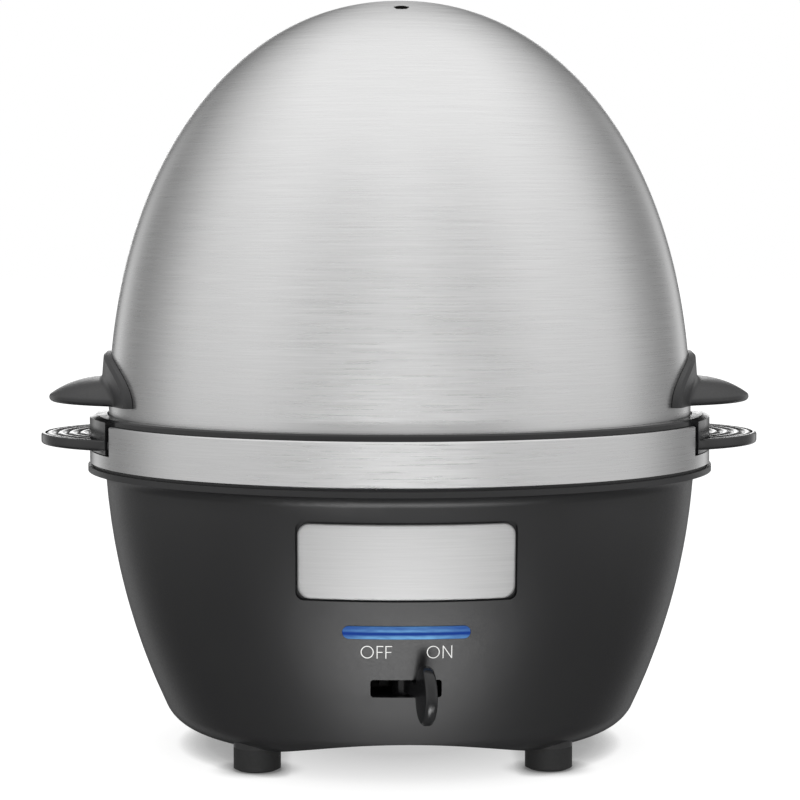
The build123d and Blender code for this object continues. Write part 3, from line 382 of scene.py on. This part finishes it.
def lit_lens(name, deep, bright):
    """Clear blue polycarbonate with lamps behind it: deep at the ends, pale along the ribs of its back."""
    material, tree, shader = start_material(name, {
        "Base Color": shade(deep, 0.4), "Emission Strength": 0.65, "Roughness": 0.25,
        "Specular IOR Level": 0.03, "IOR": 1.58,
    })
    place = add(tree, "ShaderNodeSeparateXYZ", {"Vector": own_place(tree)}).outputs
    half = (lens_high.x - lens_low.x) / 2
    middle = spread(tree, reckon(tree, "ABSOLUTE", place["X"]), 1.0, 0.3, 0.3 * half, half)
    ribs = ramp(tree, spread(tree, place["Z"], 0.0, 1.0, lens_low.z, lens_high.z), LENS_RIBS)
    ripple = spread(tree, grain(tree, size_mm=2.2, stretch=(1.6, 1.0, 0.25)), 0.6, 1.1)
    glow = reckon(tree, "MULTIPLY", reckon(tree, "MULTIPLY", ribs, middle), ripple, clamp=True)
    tree.links.new(blend(tree, glow, deep, bright), shader.inputs["Emission Color"])
    return material


def circuit_board(name):
    """Glass-epoxy board: green solder mask with paler copper tracks under it."""
    material, tree, shader = start_material(name)
    turned = add(tree, "ShaderNodeMapping", {"Vector": own_place(tree), "Rotation": (math.pi / 2, 0, 0)})
    tracks = add(
        tree, "ShaderNodeTexBrick",
        {
            "Vector": turned.outputs["Vector"], "Color1": linear("#0d4b2c"), "Color2": linear("#0b4226"),
            "Mortar": linear("#2c7a4c"), "Scale": 1.0, "Mortar Size": 0.25 * MM,
            "Brick Width": 5 * MM, "Row Height": 1.6 * MM,
        },
    )
    tree.links.new(tracks.outputs["Color"], shader.inputs["Base Color"])
    tree.links.new(spread(tree, tracks.outputs["Fac"], 0.35, 0.28, 0, 1), shader.inputs["Roughness"])
    return material


def printed(name, color):
    """Screen print: matt ink, slightly uneven where the mesh laid it down."""
    material, tree, shader = start_material(name, {"Roughness": 0.55})
    mesh_marks = grain(tree, size_mm=0.4, detail=1.0)
    tree.links.new(vary(tree, mesh_marks, color, 0.03), shader.inputs["Base Color"])
    return material


MAKERS = {
    "housing_plastic": lambda f: moulded("abs_satin_charcoal", f.housing, 0.38, 0.45),
    "rack_plastic": lambda f: moulded("polypropylene_gloss_black", f.rack, 0.2, 2.5, bump=0.05),
    "handle_plastic": lambda f: moulded("phenolic_satin_black", f.handle, 0.34, 0.6, specular=0.45),
    "lever_plastic": lambda f: moulded("abs_gloss_black", linear("#161617"), 0.22, 1.5, bump=0.05),
    "black_plastic": lambda f: moulded("pbt_moulded_black", linear("#1a1a1a"), 0.5, 0.5, specular=0.4, bump=0.2),
    "pale_plastic": lambda f: moulded("nylon_natural", linear("#e2ddd0"), 0.45, 0.8, bump=0.1),
    "rubber": lambda f: moulded(
        "nitrile_rubber_black", linear("#1d1d1d"), 0.68, 0.9, specular=0.35, bump=0.35, drift=0.12
    ),
    "brushed_steel": lambda f: brushed_steel("stainless_brushed_round", f.steel, 0.3),
    "dish_steel": lambda f: brushed_steel("stainless_spun", linear("#c4c4c2"), 0.26, streak_mm=0.6, run_mm=60.0),
    "plated_steel": lambda f: plain_metal("steel_zinc_plated", linear("#b8bcc0"), 0.3),
    "element_steel": lambda f: plain_metal(
        "sheath_alloy_heat_dulled", linear("#7a7068"), 0.45, drift=0.25, cell_mm=4.0
    ),
    "brass": lambda f: plain_metal("brass_plain", linear("#c8a24e"), 0.28),
    "blue_lens": lambda f: lit_lens("polycarbonate_blue_lit", f.lamp_deep, f.lamp_bright),
    "circuit_board": lambda f: circuit_board("glass_epoxy_green"),
}
finishes = {}


def finish_of(slot):
    """The finish of a material slot, made once."""
    if slot not in finishes:
        finishes[slot] = MAKERS[slot](settings().finish)
    return finishes[slot]


def put(name, data):
    """New object in the scene."""
    made = bpy.data.objects.new(name, data)
    bpy.context.scene.collection.objects.link(made)
    return made


def mesh_from(shape, name):
    """Plain mesh from an editable one, which ends there."""
    mesh = bpy.data.meshes.new(name)
    shape.to_mesh(mesh)
    shape.free()
    return mesh


def stitched(node):
    """Editable mesh of a node, its triangles joined at the points they share."""
    shape = bmesh.new()
    shape.from_mesh(frame["nodes"][node].data)
    bmesh.ops.remove_doubles(shape, verts=shape.verts, dist=STITCH)
    return shape


def place_piece(name, mesh, node, material=None):
    """Shown piece from a finished mesh, with a node's slot and riding on its body."""
    piece = put(name, mesh)
    mesh.polygons.foreach_set("use_smooth", [True] * len(mesh.polygons))
    mesh.set_sharp_from_angle(angle=SMOOTH_ANGLE)
    mesh.materials.clear()
    mesh.materials.append(material or finish_of(SLOT_OF[node]))
    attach(piece, BODY_OF[node])
    return piece


def smooth_skin(name, node):
    """Piece with a node's own shape, on which curved faces shade smoothly."""
    mesh = mesh_from(stitched(node), name)
    for key in ("custom_normal", "sharp_face"):
        if key in mesh.attributes:
            mesh.attributes.remove(mesh.attributes[key])
    piece = place_piece(name, mesh, node)
    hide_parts(node)


def grown(tree, name, mesh, values, node):
    """Runs a node tree on a mesh, and keeps its result as a plain mesh in a shown piece."""
    host = put(name + "_source", mesh)
    modifier = host.modifiers.new("Shape", "NODES")
    modifier.node_group = tree
    sockets = {s.name: s.identifier for s in tree.interface.items_tree if s.in_out == "INPUT"}
    for key, value in values.items():
        modifier[sockets[key]] = value
    evaluated = host.evaluated_get(bpy.context.evaluated_depsgraph_get())
    baked = bpy.data.meshes.new_from_object(evaluated)
    baked.name = name
    bpy.data.objects.remove(host)
    return place_piece(name, baked, node, values["Material"])


def new_tree(name, inputs):
    """Geometry node tree with named inputs; returns it with its input sockets and its output node."""
    tree = bpy.data.node_groups.new(name, "GeometryNodeTree")
    tree.interface.new_socket("Geometry", in_out="INPUT", socket_type="NodeSocketGeometry")
    for key, kind in inputs.items():
        tree.interface.new_socket(key, in_out="INPUT", socket_type=kind)
    tree.interface.new_socket("Geometry", in_out="OUTPUT", socket_type="NodeSocketGeometry")
    return tree, tree.nodes.new("NodeGroupInput").outputs, tree.nodes.new("NodeGroupOutput")


def end_tree(tree, geometry, material, result):
    """Ends a tree in real geometry with its material."""
    real = add(tree, "GeometryNodeRealizeInstances", {"Geometry": geometry})
    dressed = add(tree, "GeometryNodeSetMaterial", {"Geometry": real.outputs["Geometry"], "Material": material})
    tree.links.new(dressed.outputs["Geometry"], result.inputs["Geometry"])


def moved(tree, mesh, way):
    """Geometry moved by a vector."""
    return add(tree, "GeometryNodeTransform", {"Geometry": mesh, "Translation": way}).outputs["Geometry"]


def lid_sheet_tree():
    """Tree that turns the lid's side curve about the axis, gives it the sheet's thickness and cuts the vent."""
    number, whole = "NodeSocketFloat", "NodeSocketInt"
    tree, value, result = new_tree("lid_sheet", {
        "Radius": number, "Edge height": number, "Top height": number, "Side pull": number,
        "Crown pull": number, "Sheet": number, "Vent radius": number, "Vent forward": number,
        "Rings": whole, "Turns": whole, "Material": "NodeSocketMaterial",
    })

    def less(first, second):
        return reckon(tree, "SUBTRACT", first, second)

    # The side curve is drawn flat, with X as the radius and minus Y as the height
    low = less(0.0, value["Edge height"])
    top = less(0.0, value["Top height"])
    side = add(
        tree, "GeometryNodeCurvePrimitiveBezierSegment",
        {
            "Resolution": value["Rings"], "Start": along(tree, value["Radius"], low),
            "Start Handle": along(tree, value["Radius"], less(low, value["Side pull"])),
            "End Handle": along(tree, value["Crown pull"], top), "End": along(tree, 0.0, top),
        },
        mode="POSITION",
    )
    path = add(
        tree, "GeometryNodeCurvePrimitiveCircle",
        {"Resolution": value["Turns"], "Radius": 0.001 * MM}, mode="RADIUS",
    )
    turned = add(
        tree, "GeometryNodeCurveToMesh",
        {"Curve": path.outputs["Curve"], "Profile Curve": side.outputs["Curve"]},
    )
    outward = add(tree, "GeometryNodeFlipFaces", {"Mesh": turned.outputs["Mesh"]})
    closed = add(
        tree, "GeometryNodeMergeByDistance", {"Geometry": outward.outputs["Mesh"], "Distance": 0.01 * MM}
    ).outputs["Geometry"]
    inward = add(
        tree, "GeometryNodeExtrudeMesh",
        {"Mesh": closed, "Offset Scale": less(0.0, value["Sheet"]), "Individual": False}, mode="FACES",
    )
    inside = add(tree, "GeometryNodeFlipFaces", {"Mesh": inward.outputs["Mesh"]})
    both = add(tree, "GeometryNodeJoinGeometry")
    tree.links.new(inside.outputs["Mesh"], both.inputs["Geometry"])
    tree.links.new(closed, both.inputs["Geometry"])
    sheet = add(
        tree, "GeometryNodeMergeByDistance", {"Geometry": both.outputs["Geometry"], "Distance": 0.005 * MM}
    )
    drill = add(
        tree, "GeometryNodeMeshCylinder",
        {"Vertices": VENT_STEPS, "Radius": value["Vent radius"], "Depth": value["Edge height"]},
    ).outputs["Mesh"]
    spot = along(tree, y=less(0.0, value["Vent forward"]), z=value["Top height"])
    cut = add(tree, "GeometryNodeMeshBoolean", operation="DIFFERENCE", solver="EXACT")
    tree.links.new(sheet.outputs["Geometry"], cut.inputs["Mesh 1"])
    tree.links.new(moved(tree, drill, spot), cut.inputs["Mesh 2"])
    end_tree(tree, cut.outputs["Mesh"], value["Material"], result)
    return tree


def screw_tree():
    """Tree that sets a cross-recess screw on every point, its head turned the way the point faces."""
    number = "NodeSocketFloat"
    tree, value, result = new_tree("cross_screws", {
        "Face radius": number, "Foot radius": number, "Head height": number, "Shank radius": number,
        "Shank length": number, "Recess": number, "Wing": number, "Depth": number, "Material": "NodeSocketMaterial",
    })
    head = add(
        tree, "GeometryNodeMeshCone",
        {
            "Vertices": HEAD_STEPS, "Radius Top": value["Face radius"], "Radius Bottom": value["Foot radius"],
            "Depth": value["Head height"],
        },
    )
    shank = add(
        tree, "GeometryNodeMeshCylinder",
        {"Vertices": SHANK_STEPS, "Radius": value["Shank radius"], "Depth": value["Shank length"]},
    ).outputs["Mesh"]
    sunk = reckon(tree, "MULTIPLY_ADD", value["Shank length"], -0.5, SHANK_OVERLAP)
    whole = add(tree, "GeometryNodeMeshBoolean", operation="UNION", solver="EXACT")
    tree.links.new(head.outputs["Mesh"], whole.inputs["Mesh 2"])
    tree.links.new(moved(tree, shank, along(tree, z=sunk)), whole.inputs["Mesh 2"])
    cut = add(tree, "GeometryNodeMeshBoolean", operation="DIFFERENCE", solver="EXACT")
    tree.links.new(whole.outputs["Mesh"], cut.inputs["Mesh 1"])
    # The wings stand half out of the face
    tall = reckon(tree, "MULTIPLY", value["Depth"], 2.0)
    face = along(tree, z=value["Head height"])
    for long_side, short_side in (("Recess", "Wing"), ("Wing", "Recess")):
        span = along(tree, value[long_side], value[short_side], tall)
        wing = add(tree, "GeometryNodeMeshCube", {"Size": span}).outputs["Mesh"]
        tree.links.new(moved(tree, wing, face), cut.inputs["Mesh 2"])
    facing = add(tree, "GeometryNodeInputNamedAttribute", {"Name": "facing"}, data_type="FLOAT_VECTOR")
    turn = add(tree, "FunctionNodeAlignRotationToVector", {"Vector": facing.outputs["Attribute"]}, axis="Z")
    placed = add(
        tree, "GeometryNodeInstanceOnPoints",
        {"Points": value["Geometry"], "Instance": cut.outputs["Mesh"], "Rotation": turn.outputs["Rotation"]},
    )
    end_tree(tree, placed.outputs["Instances"], value["Material"], result)
    return tree


def solids_of(node):
    """Points of each separate solid of a node."""
    shape = stitched(node)
    left, solids = set(shape.verts), []
    while left:
        queue, found = [left.pop()], []
        while queue:
            vert = queue.pop()
            found.append(tuple(vert.co))
            near = {edge.other_vert(vert) for edge in vert.link_edges} & left
            left -= near
            queue.extend(near)
        solids.append(numpy.array(found))
    shape.free()
    return solids


def screw_size(points):
    """Foot of a screw's head, the way the head faces, and the screw's sizes, from its solid's points."""
    centre = (points.min(0) + points.max(0)) / 2
    spans, axes = numpy.linalg.eigh(numpy.cov((points - points.mean(0)).T))
    # The axis is the direction whose spread differs most from the other two
    axis = axes[:, 2 if spans[2] - spans[1] > spans[1] - spans[0] else 0]
    depth = (points - centre) @ axis
    reach = numpy.linalg.norm(points - centre - numpy.outer(depth, axis), axis=1)
    if depth[reach > 0.9 * reach.max()].mean() < 0:
        axis, depth = -axis, -depth
    levels = sorted({round(value / LEVEL_STEP) for value in depth}, reverse=True)
    foot = levels[1] * LEVEL_STEP
    sizes = {
        "Face radius": reach[depth > depth.max() - NEAR_LEVEL].max(),
        "Foot radius": reach[abs(depth - foot) < NEAR_LEVEL].max(),
        "Head height": depth.max() - foot,
        "Shank radius": reach[depth < depth.min() + NEAR_LEVEL].max(),
        "Shank length": foot - depth.min() + SHANK_OVERLAP,
    }
    return centre + axis * foot, axis, {key: float(value) for key, value in sizes.items()}


def lined(letters, stroke):
    """Flat quads of a word's strokes, as (x, z) corners in letter heights from its left edge."""
    quads = []
    for letter, left, width in letters:
        if letter == "O":
            for i in range(ROUND_STEPS):
                ring = []
                for turn, inset in ((i, 0), (i + 1, 0), (i + 1, stroke), (i, stroke)):
                    a = 2 * math.pi * turn / ROUND_STEPS
                    x = left + width / 2 + (width / 2 - inset) * math.cos(a)
                    ring.append((x, 0.5 + (0.5 - inset) * math.sin(a)))
                quads.append(ring)
        near = left + stroke
        if letter in "FN":
            quads.append([(left, 0), (near, 0), (near, 1), (left, 1)])
        if letter == "F":
            for low, arm in ((1 - stroke, 1), (0.5 - stroke / 2, LOWER_ARM)):
                reach = left + arm * width
                quads.append([(near, low), (reach, low), (reach, low + stroke), (near, low + stroke)])
        if letter == "N":
            far = left + width - stroke
            quads.append([(far, 0), (far + stroke, 0), (far + stroke, 1), (far, 1)])
            quads.append([(near, 1), (near, 1 - DIAGONAL * stroke), (far, 0), (far, DIAGONAL * stroke)])
    return quads


class EGGCOOKER_OT_housing(bpy.types.Operator):
    """Dress the moulded housing, its floor, its feet and its cord inlet"""

    bl_idname = "eggcooker.housing"
    bl_label = "Housing"

    def execute(self, context):
        smooth_skin("housing", "base_shell")
        smooth_skin("floor_cover", "bottom_cover")
        smooth_skin("cord_bush", "cord_gland")
        for corner in ("front_left", "front_right", "rear_left", "rear_right"):
            smooth_skin("rubber_foot_" + corner, "foot_" + corner)
        return {"FINISHED"}


class EGGCOOKER_OT_front(bpy.types.Operator):
    """Dress the trim band, the bare plate, the light bar and the lever"""

    bl_idname = "eggcooker.front"
    bl_label = "Band, plate, light bar and lever"

    def execute(self, context):
        smooth_skin("trim_band", "steel_band")
        self.plate()
        smooth_skin("light_bar", "indicator_lens")
        smooth_skin("thumb_lever", "power_lever")
        return {"FINISHED"}

    def plate(self):
        """Bare plate on the true curve of the wall, its edge rolled back into the recess."""
        size = settings().plate
        low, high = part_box("badge_plate")
        mid_x, mid_z = (low.x + high.x) / 2, (low.z + high.z) / 2
        half_x, half_z = (high.x - low.x) / 2, (high.z - low.z) / 2
        radius = self.wall_radius(2 * low.y, mid_x, mid_z, half_x, half_z)
        outline = self.outline(size, half_x, half_z)
        # Rings from the middle of the back, round the rolled edge and in to the middle of the face
        inward = [size.roll + (half_z - size.roll) * k / FACE_RINGS for k in range(FACE_RINGS + 1)]
        bend = [math.pi / 2 * k / ROLL_STEPS for k in range(ROLL_STEPS)]
        steps = [(inset, size.thickness) for inset in reversed(inward)] + [(0, size.thickness)]
        steps += [(size.roll * (1 - math.cos(a)), size.roll * (1 - math.sin(a))) for a in bend]
        steps += [(inset, 0) for inset in inward]
        sheet = bmesh.new()
        rings = []
        for inset, back in steps:
            rings.append([])
            for u, v in outline:
                x, z = mid_x + u * (1 - inset / half_x), mid_z + v * (1 - inset / half_z)
                rings[-1].append(sheet.verts.new((x, back - math.sqrt(radius(z) ** 2 - x * x), z)))
        for outer, inner in zip(rings, rings[1:]):
            for i in range(len(outline)):
                j = (i + 1) % len(outline)
                sheet.faces.new((outer[i], outer[j], inner[j], inner[i]))
        bmesh.ops.remove_doubles(sheet, verts=sheet.verts, dist=STITCH)
        bmesh.ops.recalc_face_normals(sheet, faces=sheet.faces)
        mesh = mesh_from(sheet, "front_plate")
        flat = mesh.uv_layers.new(name="level")
        for loop in mesh.loops:
            x, _, z = mesh.vertices[loop.vertex_index].co
            flat.data[loop.index].uv = (0.5 + (x - mid_x) / (4 * half_x), 0.5 + (z - mid_z) / (4 * half_x))
        aluminium = brushed_steel("aluminium_brushed", settings().finish.plate, 0.62, uv_map="level", pull=0.3)
        piece = place_piece("front_plate", mesh, "badge_plate", aluminium)
        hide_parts("badge_plate")

    def wall_radius(self, before, mid_x, mid_z, half_x, half_z):
        """The wall's radius as a function of height, from rays cast at the plate's solid from before it."""
        solid = BVHTree.FromObject(frame["nodes"]["badge_plate"], bpy.context.evaluated_depsgraph_get())
        heights, radii = [], []
        for across in numpy.linspace(-RAY_SPAN, RAY_SPAN, RAY_COLUMNS):
            for up in numpy.linspace(-RAY_SPAN, RAY_SPAN, RAY_ROWS):
                z = mid_z + half_z * up
                hit = solid.ray_cast(Vector((mid_x + half_x * across, before, z)), Vector((0, 1, 0)))[0]
                heights.append(z)
                radii.append(math.hypot(hit.x, hit.y))
        return numpy.polynomial.Polynomial.fit(heights, radii, 3)

    def outline(self, size, half_x, half_z):
        """Rounded outline about the plate's middle, with points along its sides too."""
        points = []
        for quarter, (side_x, side_z) in enumerate(((1, 1), (-1, 1), (-1, -1), (1, -1))):
            middle_x, middle_z = side_x * (half_x - size.corner), side_z * (half_z - size.corner)
            for step in range(size.corner_steps + 1):
                a = math.pi / 2 * (quarter + step / size.corner_steps)
                points.append((middle_x + size.corner * math.cos(a), middle_z + size.corner * math.sin(a)))
            # The straight run to the next corner, which lies across from this one
            x, z = points[-1]
            far_x, far_z = (-x, z) if quarter % 2 == 0 else (x, -z)
            runs = size.runs if quarter % 2 == 0 else size.corner_steps
            points.extend((x + (far_x - x) * k / runs, z + (far_z - z) * k / runs) for k in range(1, runs))
        return points


class EGGCOOKER_OT_letters(bpy.types.Operator):
    """Print OFF and ON on the housing"""

    bl_idname = "eggcooker.letters"
    bl_label = "Switch lettering"

    def execute(self, context):
        letters = settings().letters
        wall = BVHTree.FromObject(bpy.data.objects["housing"], context.evaluated_depsgraph_get())
        ink = bmesh.new()
        for word, left in ((OFF, letters.off_left), (ON, letters.on_left)):
            for quad in lined(word, letters.stroke / letters.height):
                verts = []
                for u, v in quad:
                    x = left + u * letters.height
                    z = lens_low.z - letters.drop + v * letters.height
                    hit = wall.ray_cast(Vector((x, 2 * shell_low.y, z)), Vector((0, 1, 0)))[0]
                    if hit is None:
                        raise RuntimeError("a letter lies beside the housing")
                    verts.append(ink.verts.new(hit - Vector((0, letters.ink, 0))))
                ink.faces.new(verts)
        bmesh.ops.remove_doubles(ink, verts=ink.verts, dist=0.01 * MM)
        bmesh.ops.recalc_face_normals(ink, faces=ink.faces)
        bmesh.ops.reverse_faces(ink, faces=[face for face in ink.faces if face.normal.y > 0])
        mesh = mesh_from(ink, "switch_letters")
        paint = printed("screen_print_white", settings().finish.print_white)
        place_piece("switch_letters", mesh, "indicator_leds", paint)
        return {"FINISHED"}


class EGGCOOKER_OT_lid(bpy.types.Operator):
    """Make the fine lid sheet and dress its handles"""

    bl_idname = "eggcooker.lid"
    bl_label = "Lid"

    def execute(self, context):
        lid = settings().lid
        values = {
            "Radius": lid.radius, "Edge height": lid.edge_height, "Top height": lid.top_height,
            "Side pull": lid.side_pull, "Crown pull": lid.crown_pull, "Sheet": lid.sheet,
            "Vent radius": lid.vent_radius, "Vent forward": lid.vent_forward,
            "Rings": lid.rings, "Turns": lid.turns, "Material": finish_of("brushed_steel"),
        }
        sheet = grown(lid_sheet_tree(), "lid_sheet", bpy.data.meshes.new("lid_start"), values, "lid_dome")
        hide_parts("lid_dome")
        # The punched wall of the vent is coloured near black, painted shade so that the hole looks dark
        sheet.data.materials.append(plain_metal("vent_wall_painted_shade", linear("#262524"), 0.7))
        for face in sheet.data.polygons:
            away = math.hypot(face.center.x, face.center.y + lid.vent_forward)
            if away < VENT_MARGIN * lid.vent_radius and face.center.z > lid.edge_height:
                face.material_index = 1
        for side in ("left", "right"):
            smooth_skin("wing_handle_" + side, "lid_handle_" + side)
        return {"FINISHED"}


class EGGCOOKER_OT_racks(bpy.types.Operator):
    """Dress the two egg racks"""

    bl_idname = "eggcooker.racks"
    bl_label = "Egg racks"

    def execute(self, context):
        smooth_skin("rack_lower", "lower_rack")
        smooth_skin("rack_upper", "upper_rack")
        return {"FINISHED"}


class EGGCOOKER_OT_screws(bpy.types.Operator):
    """Set cross-recess screws in the floor cover, the lid handles and the switch tray"""

    bl_idname = "eggcooker.screws"
    bl_label = "Screws"

    def execute(self, context):
        share = settings().screws
        tree = screw_tree()
        for node in ("cover_screws", "handle_screws", "bracket_screws"):
            screws = [screw_size(points) for points in solids_of(node)]
            mesh = bpy.data.meshes.new(node + "_places")
            mesh.from_pydata([place for place, _, _ in screws], [], [])
            facing = mesh.attributes.new("facing", "FLOAT_VECTOR", "POINT")
            facing.data.foreach_set("vector", [value for _, axis, _ in screws for value in axis])
            values = dict(screws[0][2])
            # A head with straight sides is a pan head, and gets a narrower face
            if values["Foot radius"] > 0.99 * values["Face radius"]:
                values["Face radius"] *= share.crown
            values["Recess"] = 2 * share.recess * values["Face radius"]
            values["Wing"] = share.wing * values["Recess"]
            values["Depth"] = share.depth * values["Head height"]
            values["Material"] = finish_of(SLOT_OF[node])
            piece = grown(tree, "crossed_" + node, mesh, values, node)
            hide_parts(node)
        return {"FINISHED"}


class EGGCOOKER_OT_inside(bpy.types.Operator):
    """Dress the water dish and everything inside the housing"""

    bl_idname = "eggcooker.inside"
    bl_label = "Dish, heater and switch"

    def execute(self, context):
        smooth_skin("water_dish", "heating_plate")
        smooth_skin("heater_tube", "heating_element")
        for node, obj in frame["nodes"].items():
            if obj.hide_render:
                continue
            obj.data.materials.clear()
            obj.data.materials.append(finish_of(SLOT_OF[node]))
        return {"FINISHED"}


class EGGCOOKER_OT_stage(bpy.types.Operator):
    """Make the floor, the light and the camera"""

    bl_idname = "eggcooker.stage"
    bl_label = "Studio"

    def execute(self, context):
        studio = settings().studio
        scene = context.scene
        scene.view_settings.view_transform = "Standard"
        self.floor()
        self.room(scene, studio)
        self.softbox(studio)
        data = bpy.data.cameras.new("photo_camera")
        data.lens = studio.lens
        data.sensor_width = 36.0
        camera = put("photo_camera", data)
        place = (studio.camera_side, -studio.camera_distance, studio.camera_height)
        self.point(camera, place, (studio.aim_side, 0, studio.aim_height))
        scene.camera = camera
        return {"FINISHED"}

    def point(self, thing, place, aim):
        """Puts a camera or a lamp somewhere and points it at something."""
        thing.location = place
        thing.rotation_euler = (Vector(aim) - Vector(place)).to_track_quat("-Z", "Y").to_euler()

    def softbox(self, studio):
        data = bpy.data.lights.new("front_softbox", "AREA")
        data.shape = "RECTANGLE"
        data.size, data.size_y = SOFTBOX_SIZE
        data.energy = studio.key
        lamp = put("front_softbox", data)
        self.point(lamp, SOFTBOX_PLACE, SOFTBOX_AIM)
        lamp.visible_camera = False
        lamp.visible_glossy = False

    def floor(self):
        """Pale paper that is lit of itself away from the object, so that it runs out into white; where something
        covers it closely, its own light is dimmed into a painted contact shadow.
        """
        disc = bmesh.new()
        bmesh.ops.create_circle(disc, cap_ends=True, segments=96, radius=FLOOR_RADIUS)
        mesh = mesh_from(disc, "pale_floor")
        floor = put("pale_floor", mesh)
        material, tree, shader = start_material(
            "pale_paper", {"Base Color": linear("#f4f4f3"), "Roughness": 0.9, "Specular IOR Level": 0.1}
        )
        away = add(tree, "ShaderNodeVectorMath", {0: own_place(tree)}, operation="LENGTH").outputs["Value"]
        # Painted contact shadow: the floor's own white light is dimmed where the object covers a spot closely
        painted_contact_shadow = add(tree, "ShaderNodeAmbientOcclusion", {"Distance": CONTACT_SHADOW_REACH}, samples=16).outputs["AO"]
        white = add(tree, "ShaderNodeEmission", {"Color": WHITE, "Strength": spread(tree, painted_contact_shadow, *FLOOR_SHADOW_LEVEL)})
        both = add(
            tree, "ShaderNodeMixShader",
            {"Fac": spread(tree, away, *FLOOR_SHARE), 1: shader.outputs["BSDF"], 2: white.outputs["Emission"]},
        )
        output = next(node for node in tree.nodes if node.type == "OUTPUT_MATERIAL")
        tree.links.new(both.outputs["Shader"], output.inputs["Surface"])
        mesh.materials.append(material)
        floor.visible_glossy = False

    def room(self, scene, studio):
        """White to the camera, soft light for matt faces, and walls and lights for faces that mirror."""
        world = bpy.data.worlds.new("white_room")
        scene.world = world
        world.use_nodes = True
        tree = world.node_tree
        tree.nodes.clear()

        def light(strength):
            return add(tree, "ShaderNodeBackground", {"Color": WHITE, "Strength": strength}).outputs["Background"]

        def choose(share, first, second):
            return add(tree, "ShaderNodeMixShader", {"Fac": share, 1: first, 2: second}).outputs["Shader"]

        path = add(tree, "ShaderNodeLightPath").outputs
        shiny = reckon(tree, "MAXIMUM", path["Is Glossy Ray"], path["Is Transmission Ray"])
        bounced = choose(shiny, light(studio.room), light(self.mirrored(tree, studio)))
        shown = choose(path["Is Camera Ray"], bounced, light(1.0))
        add(tree, "ShaderNodeOutputWorld", {"Surface": shown})

    def mirrored(self, tree, studio):
        """Brightness of the room that the steel mirrors, by direction."""
        toward = add(tree, "ShaderNodeTexCoord").outputs["Generated"]
        parts = add(tree, "ShaderNodeSeparateXYZ", {"Vector": toward}).outputs
        height = parts["Z"]
        flat = along(tree, parts["X"], parts["Y"])
        level = add(tree, "ShaderNodeVectorMath", {0: flat}, operation="NORMALIZE").outputs["Vector"]
        back = add(tree, "ShaderNodeSeparateXYZ", {"Vector": level}).outputs["Y"]
        bearing = spread(tree, back, 0.0, 1.0, -1.0, 1.0)

        def window(top, foot):
            return reckon(tree, "MULTIPLY", spread(tree, height, *top), spread(tree, height, *foot))

        wall = reckon(tree, "MULTIPLY", ramp(tree, bearing, WALLS), spread(tree, height, *WALL_FOOT))
        climb = reckon(tree, "POWER", spread(tree, height, *CEILING), CEILING_CURVE)
        bare = add(tree, "ShaderNodeMix", {"Factor": climb, "A": wall, "B": CEILING_LEVEL}).outputs["Result"]
        # A bright strip on each side behind the object, level with it
        strips = ramp(tree, bearing, STRIPS)
        sides = reckon(tree, "MULTIPLY_ADD", strips, window(STRIP_TOP, STRIP_FOOT), bare)
        # The white sweep straight behind, which level tops mirror, brighter to the left and right
        aside = reckon(tree, "ABSOLUTE", parts["X"])
        sweep = spread(tree, back, 0.0, spread(tree, aside, *SWEEP_LEVEL), *SWEEP_SIDE)
        behind = reckon(tree, "MULTIPLY_ADD", sweep, window(SWEEP_TOP, SWEEP_FOOT), sides)
        # A patch of light low in front of the object, narrower towards its foot
        patch = spread(tree, back, 1.0, 0.0, PATCH_SIDE, spread(tree, height, *PATCH_EDGE))
        return reckon(tree, "MULTIPLY_ADD", patch, window((studio.patch, 0.0, *PATCH_TOP), PATCH_FOOT), behind)


class EGGCOOKER_PT_sidebar(bpy.types.Panel):
    """Steps and sizes of the egg cooker"""

    bl_idname = "EGGCOOKER_PT_sidebar"
    bl_label = "Egg Cooker"
    bl_space_type = "VIEW_3D"
    bl_region_type = "UI"
    bl_category = "Egg Cooker"

    def draw(self, context):
        layout = self.layout
        for step in STEPS:
            layout.operator(step.bl_idname)
        cooker = context.scene.egg_cooker
        for group in (cooker.lid, cooker.letters, cooker.plate, cooker.screws, cooker.finish, cooker.studio):
            box = layout.box()
            for key in group.__annotations__:
                box.prop(group, key)


STEPS = (
    EGGCOOKER_OT_housing,
    EGGCOOKER_OT_front,
    EGGCOOKER_OT_letters,
    EGGCOOKER_OT_lid,
    EGGCOOKER_OT_racks,
    EGGCOOKER_OT_screws,
    EGGCOOKER_OT_inside,
    EGGCOOKER_OT_stage,
)
CLASSES = (
    EggCookerLid, EggCookerLetters, EggCookerPlate, EggCookerScrews, EggCookerFinish, EggCookerStudio, EggCooker,
    *STEPS, EGGCOOKER_PT_sidebar,
)


def register():
    for cls in CLASSES:
        bpy.utils.register_class(cls)
    bpy.types.Scene.egg_cooker = PointerProperty(type=EggCooker)


def unregister():
    del bpy.types.Scene.egg_cooker
    for cls in reversed(CLASSES):
        bpy.utils.unregister_class(cls)


def main():
    register()
    for step in STEPS:
        group, name = step.bl_idname.split(".")
        getattr(getattr(bpy.ops, group), name)()


if __name__ == "__main__":
    main()
